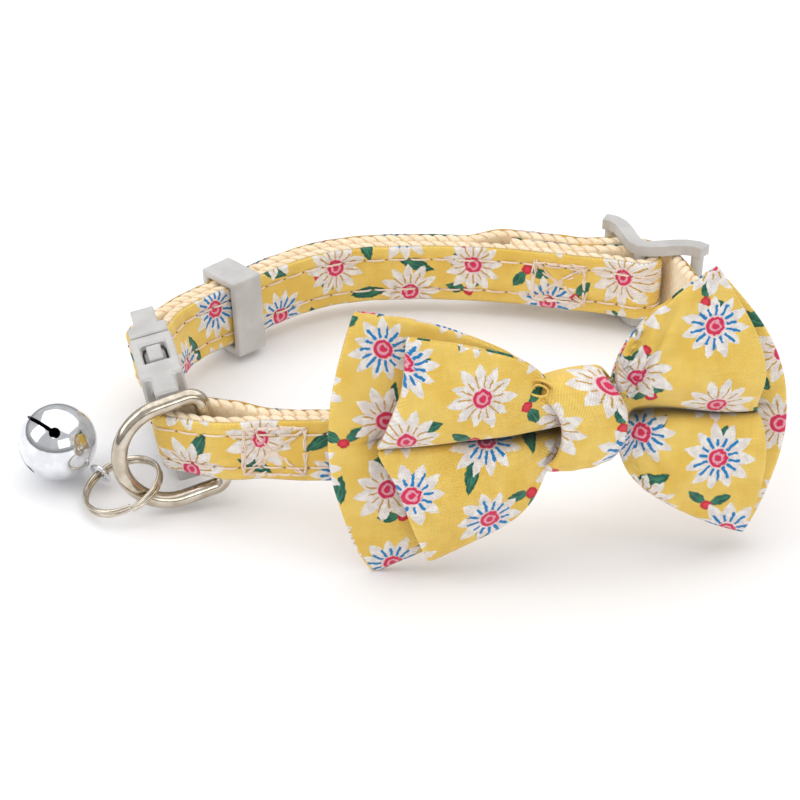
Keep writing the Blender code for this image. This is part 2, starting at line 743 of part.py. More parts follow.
def make_bell(ring, mats):
    centre, eye, axis = bell_places(ring)
    radius = BELL_DIAMETER / 2
    side = unit(np.cross(axis, UP))
    other = np.cross(axis, side)
    twist = math.radians(BELL_TWIST)
    x_axis = math.cos(twist) * side + math.sin(twist) * other
    y_axis = np.cross(-axis, x_axis)
    matrix = frame_matrix(centre, x_axis, y_axis, -axis)

    bm = bmesh.new()
    bmesh.ops.create_uvsphere(bm, u_segments=28, v_segments=18, radius=radius)
    shell = add_object("bell_shell", mesh_from(bm, "bell_shell"), mats["chrome"], matrix)

    def inside(bm):
        bmesh.ops.create_uvsphere(bm, u_segments=28, v_segments=18, radius=radius - BELL_WALL)

    slot_end = math.radians(BELL_SLOT_START)
    rise = radius * math.sin(slot_end)

    def slot(turned):
        half = (radius * 1.2, BELL_SLOT / 2)
        low = (-half[turned], -half[1 - turned], rise)
        return lambda bm: box(bm, low, (half[turned], half[1 - turned], radius * 1.2))

    def holes(turned):
        reach = Vector((0, radius * 1.2, 0)) if turned else Vector((radius * 1.2, 0, 0))
        level = Vector((0, 0, rise))
        return lambda bm: cylinder(bm, BELL_HOLE / 2, level - reach, level + reach, 12)

    boolean(shell, tool_object("bell_inside", inside, matrix), "DIFFERENCE")
    for turned in (0, 1):
        boolean(shell, tool_object(f"bell_slot_{turned}", slot(turned), matrix), "DIFFERENCE")
        boolean(shell, tool_object(f"bell_holes_{turned}", holes(turned), matrix), "DIFFERENCE")

    pellet = bmesh.new()
    bmesh.ops.create_uvsphere(pellet, u_segments=12, v_segments=8, radius=PELLET / 2)
    low = centre - (radius - BELL_WALL - PELLET / 2 - GAP) * UP
    rest = Matrix.Translation(Vector(low))
    add_object("bell_pellet", mesh_from(pellet, "bell_pellet"), mats["nickel"], rest)

    after = split_ring_point(ring, BELL_EYE_TURN + 2.0)
    wire_way = unit(after - split_ring_point(ring, BELL_EYE_TURN - 2.0))
    normal = unit(wire_way - np.dot(wire_way, axis) * axis)
    across = np.cross(normal, axis)
    points = []
    for step in range(24):
        turn = math.tau * step / 24
        points.append(eye + EYE_RADIUS * (math.cos(turn) * axis + math.sin(turn) * across))
    wire("bell_eye", points, EYE_WIRE / 2, mats["chrome"], closed=True)


PINCH = KNOT_WIDTH / 2
PINCH_HEIGHT = KNOT_HEIGHT / 2 - PLY - GAP - KNOT_SQUEEZE
KNOT_HALF_DEPTH = 2 * PLY + 1.5 * PLY_GAP + GAP + PLY / 2
BOW_STANDOFF = HALF_LAYERS + COVER_OFFSET + COVER / 2 + LOOSE + ELASTIC + GAP + KNOT_HALF_DEPTH + PLY / 2


def bow_matrix(ring):
    """The bow's own frame at the middle of its pinch: X along the wings, Y out of the collar and Z up."""
    return ring.matrix(ring.at["bow"], BOW_STANDOFF, BOW_ABOVE_STRAP)


def wing_row(layer, side):
    for row in WINGS:
        if row[:2] == (layer, side):
            return row[2:]
    raise KeyError((layer, side))


def edge_pull(q):
    """How far an end's edge is drawn in at height q, from 0 in the middle to 1 at a corner."""
    return abs(q) ** 1.7


def cloth_point(layer, side, share, q, lift, width, height):
    """A point on one ply of a wing: share from pinch to end, q from -1 at the bottom to 1 at the top.

    The strap runs to the left at the bow, so the bow's own X does too."""
    reach, top_reach, bottom_reach, top, bottom = wing_row(layer, side)
    corner = top_reach if q > 0 else bottom_reach
    far = width * (reach - (reach - corner) * edge_pull(q))
    x = PINCH + share * (far - PINCH)
    tall = height * (top if q > 0 else bottom)
    z = q * (PINCH_HEIGHT + (tall - PINCH_HEIGHT) * share**0.6)
    out = (x - PINCH) / (BOW_BACK_WIDTH / 2 - PINCH)
    flare = FRONT_FLARE if layer == "front" else BACK_FLARE
    fade = float(smooth(out * 4)) * (1.0 - 0.55 * float(smooth(out)))
    crease = math.exp(-((z / CREASE_WIDTH) ** 2)) * fade
    fall = (2 * z / BOW_BACK_HEIGHT) ** 2 * float(smooth(out * 2))
    return -side * x, lift + flare * out - CREASE_DEPTH * crease - EDGE_FALL * fall, z


def layer_rows(layer, width, height, base, matrix):
    """Rows round one flattened loop of cloth: the front ply from left to right, then the back ply."""
    across = np.linspace(-1.0, 1.0, 13)
    shares = (0.0, 0.06, 0.14, 0.24, 0.36, 0.5, 0.64, 0.78, 0.9, 0.965)
    half_gap = (PLY + PLY_GAP) / 2
    puffed = 1 if layer == "front" else -1
    rows = []

    def row(side, share, face, part=1.0):
        lift = base + face * part * half_gap
        if face == puffed:
            lift += face * PUFF * math.sin(math.pi * min(share / 0.97, 1.0))
        points = [cloth_point(layer, side, share, q, lift, width, height) for q in across]
        rows.append([matrix @ Vector(point) for point in points])

    for face in (1, -1):
        first, last = (-1, 1) if face == 1 else (1, -1)
        row(first, 1.0, face, 0.5)
        for share in reversed(shares):
            row(first, share, face)
        for share in shares:
            row(last, share, face)
        row(last, 1.0, face, 0.5)
    return rows


def make_bow(ring, mats):
    matrix = bow_matrix(ring)
    layer_step = PLY + PLY_GAP
    back = layer_rows("back", BOW_BACK_WIDTH, BOW_BACK_HEIGHT, -layer_step, matrix)
    front = layer_rows("front", BOW_FRONT_WIDTH, BOW_FRONT_HEIGHT, layer_step, matrix)
    sheet("bow_back_layer", back, mats["print"], PLY, closed=True)
    sheet("bow_front_layer", front, mats["print"], PLY, closed=True)
    half_up = KNOT_HEIGHT / 2 - PLY / 2
    band("bow_knot", matrix, KNOT_HALF_DEPTH, half_up, 0.0, KNOT_WIDTH, PLY, KNOT_CORNER, mats["print"])

    strap = ring.matrix(ring.at["bow"])
    inner = HALF_LAYERS - WEBBING / 2 - LOOSE
    outer = HALF_LAYERS + COVER_OFFSET + COVER / 2 + LOOSE
    half_out = (outer - inner + ELASTIC) / 2
    centre_out = (outer + inner) / 2
    half_up = STRAP_WIDTH / 2 + LOOSE + ELASTIC / 2
    size = (half_out, half_up, centre_out, ELASTIC_WIDTH, ELASTIC, ELASTIC_CORNER)
    band("bow_loop", strap, *size, mats["elastic"])


def settle():
    """Moves the collar so that the origin is the middle of its base."""
    bpy.context.view_layer.update()
    depsgraph = bpy.context.evaluated_depsgraph_get()
    corners = []
    for obj in COLLAR.objects:
        evaluated = obj.evaluated_get(depsgraph)
        mesh = evaluated.to_mesh()
        places = np.empty(len(mesh.vertices) * 3)
        mesh.vertices.foreach_get("co", places)
        world = np.array(evaluated.matrix_world)
        places = places.reshape(-1, 3) @ world[:3, :3].T + world[:3, 3]
        corners += [places.min(axis=0), places.max(axis=0)]
        evaluated.to_mesh_clear()
    low = np.min(corners, axis=0)
    high = np.max(corners, axis=0)
    shift = Vector((-(low[0] + high[0]) / 2, -(low[1] + high[1]) / 2, -low[2]))
    for collection in (COLLAR, CUTTERS):
        for obj in collection.objects:
            obj.matrix_world = Matrix.Translation(shift) @ obj.matrix_world


def main():
    clear_scene()
    mats = {
        "print": material("printed_cotton", (0.90, 0.62, 0.12), 0.85),
        "webbing": material("cream_webbing", (0.87, 0.76, 0.58), 0.9),
        "plastic": material("grey_plastic", (0.66, 0.67, 0.66), 0.4),
        "nickel": material("warm_nickel", (0.72, 0.66, 0.58), 0.22, 1.0),
        "chrome": material("bright_chrome", (0.85, 0.87, 0.88), 0.08, 1.0),
        "elastic": material("cream_elastic", (0.85, 0.80, 0.70), 0.9),
    }
    buckle_up = bar_places()[4]
    ring = Ring(buckle_up)
    make_strap(ring, mats)
    make_buckle(mats)
    make_keeper(ring, mats)
    make_slider(ring, mats)
    make_dring(ring, mats)
    make_split_ring(ring, mats)
    make_bell(ring, mats)
    make_bow(ring, mats)
    settle()


main()
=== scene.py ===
"""Pet bow tie collar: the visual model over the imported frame, with its materials, light and camera."""

import math

import bmesh
import bpy
import numpy as np
from mathutils import Matrix, Vector, noise


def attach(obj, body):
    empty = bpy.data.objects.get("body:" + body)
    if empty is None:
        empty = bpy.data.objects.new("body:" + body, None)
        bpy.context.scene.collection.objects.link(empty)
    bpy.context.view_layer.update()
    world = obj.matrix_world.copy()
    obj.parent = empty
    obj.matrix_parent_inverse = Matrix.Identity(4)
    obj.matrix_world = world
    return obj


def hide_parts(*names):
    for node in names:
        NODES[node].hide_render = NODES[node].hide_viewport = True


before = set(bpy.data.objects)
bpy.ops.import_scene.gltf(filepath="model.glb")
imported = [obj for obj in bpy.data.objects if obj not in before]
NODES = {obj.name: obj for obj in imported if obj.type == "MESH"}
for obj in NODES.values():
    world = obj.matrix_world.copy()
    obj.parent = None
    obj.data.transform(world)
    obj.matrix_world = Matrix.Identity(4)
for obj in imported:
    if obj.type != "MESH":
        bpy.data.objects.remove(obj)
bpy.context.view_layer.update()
MM = 0.001
UP = np.array([0.0, 0.0, 1.0])
# How far the CAD model was moved to put its origin in the middle of its base
SHIFT = np.array([0.26327895, -10.56219358, 0.52195659]) * MM

# The strap's route, as in the part's source, in metres
STRAP_WIDTH = 10.0 * MM
WEBBING = 1.0 * MM
COVER = 1.0 * MM
GAP = 0.25 * MM
LOOSE = 0.4 * MM
RING_WIDTH = 87.0 * MM
RING_DEPTH = 57.5 * MM
BACK_HEIGHT = 6.9 * MM
BOW_RISE = 10.1 * MM
TAIL_LENGTH = 20.0 * MM
TAB_LENGTH = 30.0 * MM
BAR_RADIUS = 1.0 * MM
BUCKLE_LEAN = 11.0
DRING_SETBACK = 5.6 * MM
DRING_WIRE = 2.4 * MM
DRING_INNER = 13.0 * MM
DRING_DEPTH = 14.3 * MM
DRING_SAG = 8.0
DRING_SWING = 33.0
SPLIT_RADIUS = 5.85 * MM
SPLIT_WIRE = 0.7 * MM
SPLIT_HEADING = 148.0
SPLIT_RISE_RIGHT = 0.34
SPLIT_RISE_BACK = 0.08
SPLIT_BEND = -45.0
SPLIT_START = -75.0
SPLIT_CLEAR = 0.03 * MM
BELL_DIAMETER = 11.7 * MM
BELL_WALL = 0.5 * MM
BELL_SLOT = 0.6 * MM
BELL_HOLE = 1.7 * MM
BELL_HEADING = -22.0
BELL_TWIST = 40.0
BELL_EYE_TURN = 128.0
BELL_SLOT_START = 8.0
FLOOR_CLEAR = 0.03 * MM
SLIVER = 0.004 * MM
EYE_RADIUS = 1.45 * MM
EYE_WIRE = 0.8 * MM
ELASTIC_WIDTH = 7.0 * MM
SLIDER_RAMP = 11.0 * MM
STATIONS = (
    ("male_bar", -0.430, 0.310, 0.13, 11),
    ("left", -0.372, 0.468, 0.05, 8),
    ("keeper", -0.296, 0.580, 0.00, 5),
    ("back_left", -0.150, 0.740, 0.00, 2),
    ("back", 0.036, 0.786, 0.00, 1),
    ("back_right", 0.220, 0.756, 0.02, 3),
    ("slider", 0.415, 0.655, 0.06, 6),
    ("right_back", 0.530, 0.510, 0.16, 5),
    ("right", 0.576, 0.320, 0.34, 1),
    ("right_front", 0.548, 0.060, 0.62, -6),
    ("bow_right", 0.460, -0.125, 0.86, -11),
    ("bow", 0.310, -0.197, 1.00, -12),
    ("front", 0.120, -0.228, 0.78, -12),
    ("front_left", -0.110, -0.212, 0.54, -10),
    ("d_ring", -0.244, -0.166, 0.40, -5),
    ("female_bar", -0.376, -0.102, 0.34, 0),
)
FOLD = BAR_RADIUS + GAP + WEBBING / 2
HALF_LAYERS = (GAP + WEBBING) / 2
LAYER = WEBBING + GAP + COVER
COVER_OFFSET = WEBBING / 2 + GAP + COVER / 2
DRING_SPREAD = DRING_WIRE / 2 + GAP + WEBBING / 2
SLIDER_BAR_N = FOLD + 0.65 * MM
OVER_FOLD = SLIDER_BAR_N + FOLD + LAYER + 2 * GAP

# The bow, as in the part's source
PLY = 1.0 * MM
PLY_GAP = 0.4 * MM
KNOT_HEIGHT = 15.5 * MM
BOW_ABOVE_STRAP = 2.9 * MM
ELASTIC = 1.0 * MM
KNOT_HALF_DEPTH = 2 * PLY + 1.5 * PLY_GAP + GAP + PLY / 2
BOW_STANDOFF = HALF_LAYERS + COVER_OFFSET + COVER / 2 + LOOSE + ELASTIC + GAP + KNOT_HALF_DEPTH + PLY / 2


def smooth(x):
    x = np.clip(x, 0.0, 1.0)
    return x * x * (3.0 - 2.0 * x)


def unit(v):
    v = np.asarray(v, float)
    return v / np.linalg.norm(v)


def lengths(points):
    """How far along a line each of its points is."""
    return np.concatenate([[0.0], np.cumsum(np.linalg.norm(np.diff(points, axis=0), axis=1))])


def lookup(at, knots, table):
    """Rows of a table, read between its knots."""
    return np.stack([np.interp(at, knots, column) for column in table.T], -1)


def natural_spline(knots, values, at):
    """Rows of values, read between their knots on a smooth curve."""
    count = len(knots)
    h = np.diff(knots)
    system = np.eye(count)
    rhs = np.zeros_like(values)
    for i in range(1, count - 1):
        system[i, i - 1 : i + 2] = h[i - 1], 2 * (h[i - 1] + h[i]), h[i]
        rhs[i] = 6 * ((values[i + 1] - values[i]) / h[i] - (values[i] - values[i - 1]) / h[i - 1])
    bend = np.linalg.solve(system, rhs)
    i = np.clip(np.searchsorted(knots, at) - 1, 0, count - 2)
    a = ((knots[i + 1] - at) / h[i])[:, None]
    b = 1.0 - a
    curve = ((a**3 - a) * bend[i] + (b**3 - b) * bend[i + 1]) * h[i][:, None] ** 2 / 6
    return a * values[i] + b * values[i + 1] + curve


def buckle_up(male, female):
    """The buckle's upward direction, from the places of its two bars."""
    along = unit(male - female)
    outward = unit([-along[1], along[0], 0.0])
    lean = math.radians(BUCKLE_LEAN)
    up = math.cos(lean) * UP + math.sin(lean) * outward
    return unit(up - np.dot(up, along) * along)


class Ring:
    """The strap's middle line with its outward and upward directions, by length along it."""

    def __init__(self):
        across, deep, rise, lean = np.array([row[1:] for row in STATIONS], float).T
        knots = np.stack([across * RING_WIDTH, deep * RING_DEPTH, BACK_HEIGHT + rise * BOW_RISE], -1)
        chord = lengths(knots)
        samples = np.linspace(0.0, chord[-1], 1500)
        self.line = natural_spline(chord, knots, samples)
        self.leans = np.radians(np.interp(samples, chord, lean))
        self.s = lengths(self.line)
        self.length = self.s[-1]
        self.buckle_up = buckle_up(knots[0], knots[-1])
        self.at = dict(zip([row[0] for row in STATIONS], np.interp(chord, samples, self.s)))

    def frame(self, s):
        inside = min(max(s, 0.0), self.length)
        near = 0.5 * MM
        behind, centre, ahead = lookup([inside - near, inside, inside + near], self.s, self.line)
        along = unit(ahead - behind)
        outward = unit([-along[1], along[0], 0.0])
        lean = np.interp(inside, self.s, self.leans)
        up = math.cos(lean) * UP + math.sin(lean) * outward
        from_end = min(inside, self.length - inside)
        hold = 1.0 - float(smooth(from_end / (1.4 * STRAP_WIDTH)))
        up = unit((1.0 - hold) * up + hold * self.buckle_up)
        outward = unit(np.cross(up, along))
        along = np.cross(outward, up)
        return centre + (s - inside) * along + SHIFT, along, outward, up

    def point(self, s, n):
        centre, _, outward, _ = self.frame(s)
        return centre + n * outward


RING = Ring()
SLIDER_AT = RING.at["slider"]


def end_spread(from_end):
    spread = (DRING_SPREAD - HALF_LAYERS) * (1.0 - smooth((from_end - DRING_SETBACK - 2 * MM) / (7 * MM)))
    return spread + (FOLD - DRING_SPREAD) * (1.0 - smooth(from_end / DRING_SETBACK))


def outer_offset(s):
    tail_end = SLIDER_AT - TAIL_LENGTH
    n = HALF_LAYERS + (FOLD - HALF_LAYERS) * (1.0 - smooth(s / (8 * MM)))
    n += (LAYER + GAP) * smooth((s - tail_end + 7 * MM) / (6 * MM))
    n += (OVER_FOLD - HALF_LAYERS - LAYER - GAP) * smooth((s - SLIDER_AT + SLIDER_RAMP) / (0.9 * SLIDER_RAMP))
    n -= (OVER_FOLD - HALF_LAYERS) * smooth((s - SLIDER_AT) / (11 * MM))
    return n + end_spread(RING.length - s)


def slider_ramp(s):
    return smooth((s - SLIDER_AT + SLIDER_RAMP) / SLIDER_RAMP)


def inner_offset(s):
    spread = (FOLD - HALF_LAYERS) * (1.0 - smooth(s / (8 * MM)))
    return (SLIDER_BAR_N - FOLD + HALF_LAYERS) * slider_ramp(s) - HALF_LAYERS - spread


def tail_offset(s):
    return HALF_LAYERS + (SLIDER_BAR_N + FOLD - HALF_LAYERS) * slider_ramp(s)


def strap_route(step):
    """The webbing's line as rows of s and n, with names of its stretches."""
    route = []

    def run(name, start, end, rule):
        count = int(round(abs(end - start) / step)) + 1
        for s in np.linspace(start, end, count):
            route.append((s, float(rule(s)), name))

    def fold(s_bar, n_bar, direction):
        count = max(8, int(round(math.pi * FOLD / step)))
        for i in range(1, count):
            turn = math.pi * i / count
            s = s_bar + direction * FOLD * math.sin(turn)
            route.append((s, n_bar + direction * FOLD * math.cos(turn), "fold"))

    run("tail", SLIDER_AT - TAIL_LENGTH, SLIDER_AT, tail_offset)
    fold(SLIDER_AT, SLIDER_BAR_N, 1)
    run("inner", SLIDER_AT, 0.0, inner_offset)
    fold(0.0, 0.0, -1)
    run("outer", 0.0, RING.length, outer_offset)
    fold(RING.length, 0.0, 1)
    run("tab", RING.length, RING.length - TAB_LENGTH, lambda s: -HALF_LAYERS - end_spread(RING.length - s))
    return route


class Strip:
    """The strap's route with the direction of its printed side, by length of webbing."""

    def __init__(self, step):
        self.route = strap_route(step)
        self.places = np.array([RING.point(s, n) for s, n, _ in self.route])
        self.ups = np.array([RING.frame(s)[3] for s, _, _ in self.route])
        ahead = np.gradient(self.places, axis=0)
        sides = np.cross(self.ups, ahead)
        self.sides = sides / np.linalg.norm(sides, axis=1)[:, None]
        self.t = lengths(self.places)

    def at(self, t, side, v):
        """Places at length t, off the webbing's middle by side towards the print, and v up."""
        centre, out, up = (lookup(t, self.t, table) for table in (self.places, self.sides, self.ups))
        place = centre + np.asarray(side)[..., None] * out + np.asarray(v)[..., None] * up
        place[..., 2] = np.maximum(place[..., 2], FLOOR_CLEAR)
        return place

    def length_at(self, name, s):
        """The route's length at ring length s, on the named stretch."""
        best = min((abs(r[0] - s), i) for i, r in enumerate(self.route) if r[2] == name)
        return self.t[best[1]]


# Mesh helpers
def placing(*columns):
    """The matrix of three axes and an origin."""
    return Matrix([*np.stack(columns, -1).tolist(), [0, 0, 0, 1]])


def add_object(name, data):
    obj = bpy.data.objects.new(name, data)
    bpy.context.scene.collection.objects.link(obj)
    return obj


def add_piece(mesh, mat, replaces=()):
    """A piece named as its mesh is, on the object's one body."""
    obj = add_object(mesh.name, mesh)
    if mat:
        obj.data.materials.append(mat)
    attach(obj, "root")
    if replaces:
        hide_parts(*replaces)
    return obj


def grid_mesh(name, rows, uvs=None, close_rows=False, close_across=False, caps=False):
    """A mesh from rows of points. uvs is the same grid of (u, v), or of (u, v, painted shade), whose third
    number goes to the slit attribute.
    """
    rows = np.asarray(rows, float)
    count, wide = rows.shape[:2]
    faces = []
    for i in range(count if close_rows else count - 1):
        i2 = (i + 1) % count
        for j in range(wide if close_across else wide - 1):
            j2 = (j + 1) % wide
            faces.append((i * wide + j, i2 * wide + j, i2 * wide + j2, i * wide + j2))
    if caps:
        faces.append(tuple(range(wide)))
        faces.append(tuple((count - 1) * wide + j for j in reversed(range(wide))))
    mesh = bpy.data.meshes.new(name)
    mesh.from_pydata(rows.reshape(-1, 3).tolist(), [], faces)
    if uvs is not None:
        layer = mesh.uv_layers.new(name="cloth")
        flat = np.asarray(uvs, float)
        if flat.shape[-1] == 3:
            # The third number is painted shade for the bow's creases, kept as the slit attribute
            depth = mesh.attributes.new("slit", "FLOAT", "POINT")
            depth.data.foreach_set("value", flat[..., 2].ravel())
        flat = flat[..., :2].reshape(-1, 2)
        index = np.empty(len(mesh.loops), np.int64)
        mesh.loops.foreach_get("vertex_index", index)
        layer.data.foreach_set("uv", flat[index].ravel())
    mesh.shade_smooth()
    mesh.update()
    return mesh


def rings_round(line, a, b, radius, sides):
    """Rings of points round a line, each in the plane of its directions a and b."""
    turns = np.linspace(0.0, math.tau, sides, endpoint=False)[:, None]
    return line[:, None] + radius * (np.cos(turns) * a[:, None] + np.sin(turns) * b[:, None])


def units(rows):
    return rows / (np.linalg.norm(rows, axis=-1)[..., None] + 1e-12)


def tubes_mesh(name, lines, radius, sides=6):
    """One mesh of thin round threads, each along its own points, closed at both ends."""
    verts, faces = [], []
    for line in lines:
        ahead = units(np.gradient(line, axis=0))
        a = units(np.cross(ahead, UP if abs(ahead[0] @ UP) < 0.8 else [1.0, 0.0, 0.0]))
        base, last = len(verts), len(verts) + (len(line) - 1) * sides
        verts += rings_round(line, a, np.cross(ahead, a), radius, sides).reshape(-1, 3).tolist()
        for p in range(base, last, sides):
            for k in range(sides):
                k2 = (k + 1) % sides
                faces.append((p + k, p + k2, p + sides + k2, p + sides + k))
        faces.append(tuple(base + k for k in reversed(range(sides))))
        faces.append(tuple(last + k for k in range(sides)))
    mesh = bpy.data.meshes.new(name)
    mesh.from_pydata(verts, [], faces)
    mesh.shade_smooth()
    return mesh


def wobble(x, y, z, scale=1.0):
    return noise.noise(Vector((x * scale, y * scale, z * scale)))


# Materials
def operation(kind, swap=False):
    """A method of Value that adds one math node."""

    def method(self, other=0.0):
        return self.graph.m(kind, *((other, self) if swap else (self, other)))

    return method


class Value:
    """A number in a material's graph: arithmetic on it adds math nodes."""

    def __init__(self, graph, socket):
        self.graph = graph
        self.socket = socket

    __add__, __radd__ = operation("ADD"), operation("ADD", True)
    __sub__, __rsub__ = operation("SUBTRACT"), operation("SUBTRACT", True)
    __mul__, __rmul__ = operation("MULTIPLY"), operation("MULTIPLY", True)
    __truediv__, __rtruediv__ = operation("DIVIDE"), operation("DIVIDE", True)
    __pow__, __mod__, __abs__ = operation("POWER"), operation("FLOORED_MODULO"), operation("ABSOLUTE")
    __gt__, __lt__ = operation("GREATER_THAN"), operation("LESS_THAN")


class Graph:
    """Small helpers that add nodes to a material."""

    def __init__(self, name, roughness, metallic=0.0, sheen=0.0, specular=0.5):
        self.mat = bpy.data.materials.new(name)
        self.mat.use_nodes = True
        self.tree = self.mat.node_tree
        self.inputs = self.tree.nodes["Principled BSDF"].inputs
        keys = ("Roughness", "Metallic", "Sheen Weight", "Specular IOR Level")
        for key, value in zip(keys, (roughness, metallic, sheen, specular)):
            self.inputs[key].default_value = value

    def put(self, socket, value):
        """Links a value to a socket, or sets the socket to a plain number or colour."""
        if isinstance(value, Value):
            self.tree.links.new(value.socket, socket)
        else:
            socket.default_value = value

    def node(self, kind, inputs=(), **settings):
        """The outputs of a new node, whose inputs are filled by name or number."""
        made = self.tree.nodes.new("ShaderNode" + kind)
        for key, value in settings.items():
            setattr(made, key, value)
        for key, value in dict(inputs).items():
            self.put(made.inputs[key], value)
        return [Value(self, socket) for socket in made.outputs]

    def m(self, kind, a, b=0.0):
        return self.node("Math", {0: a, 1: b}, operation=kind)[0]

    def ramp(self, x, low, high, start=0.0, end=1.0):
        inputs = {"Value": x, "From Min": low, "From Max": high, "To Min": start, "To Max": end}
        return self.node("MapRange", inputs, interpolation_type="SMOOTHSTEP")[0]

    def below(self, x, edge, soft):
        """1 where x is under edge, 0 over it, with a soft change."""
        return self.ramp(edge - x, -soft, soft)

    def mix(self, factor, a, b):
        return self.node("Mix", {0: factor, 6: a, 7: b}, data_type="RGBA")[2]

    def split(self, vector):
        return self.node("SeparateXYZ", {0: vector})

    def join(self, x, y, z=0.0):
        return self.node("CombineXYZ", {0: x, 1: y, 2: z})[0]

    def scaled(self, vector, scale):
        return self.node("VectorMath", {0: vector, "Scale": scale}, operation="SCALE")[0]

    def attribute(self, name):
        """A number that the mesh holds for each of its points."""
        return self.node("Attribute", attribute_name=name)[2]

    def random(self, x, y, z):
        """Three even random numbers for a cell."""
        colour = self.node("TexWhiteNoise", {"Vector": self.join(x, y, z)}, noise_dimensions="3D")[1]
        return self.node("SeparateColor", {0: colour})

    def noise(self, vector, scale, detail=2.0, rough=0.5):
        inputs = {"Vector": vector, "Scale": scale, "Detail": detail, "Roughness": rough}
        return self.node("TexNoise", inputs)[0]

    def object_mm(self):
        """The object's own coordinates, in millimetres."""
        return self.scaled(self.node("TexCoord")[3], 1000.0)

    def finish(self, colour, height, distance, strength):
        """The material, with its colour and the bump that a height of 1 makes, in metres."""
        self.put(self.inputs["Base Color"], colour)
        inputs = {"Strength": strength, "Distance": distance, "Height": height}
        self.put(self.inputs["Normal"], self.node("Bump", inputs)[0])
        return self.mat


UV_MM = 100.0  # a cloth map's unit, in millimetres
LEAF_CELL = 8.6
DAISY_CELL = 11.5
WEAVE_PITCH = 0.42


def rgb(r, g, b):
    """A colour as it looks on a screen, from 0 to 255, as Blender's linear numbers."""
    def linear(c):
        c /= 255.0
        return c / 12.92 if c <= 0.04045 else ((c + 0.055) / 1.055) ** 2.4

    return (linear(r), linear(g), linear(b), 1.0)


def cell_place(g, x, y, cell, seed, jitter):
    """Half drop cells: a place from its cell's own moved centre, in millimetres, and the cell's numbers."""
    across = x / cell
    column = g.m("FLOOR", across)
    down = y / cell + column % 2.0 * 0.5
    row = g.m("FLOOR", down)
    move_x, move_y, pick = g.random(column, row, seed)
    px = (g.m("FRACT", across) - 0.5 - (move_x - 0.5) * jitter) * cell
    py = (g.m("FRACT", down) - 0.5 - (move_y - 0.5) * jitter) * cell
    return px, py, column, row, pick


def turned(g, x, y, angle):
    c, s = g.m("COSINE", angle), g.m("SINE", angle)
    return x * c + y * s, y * c - x * s


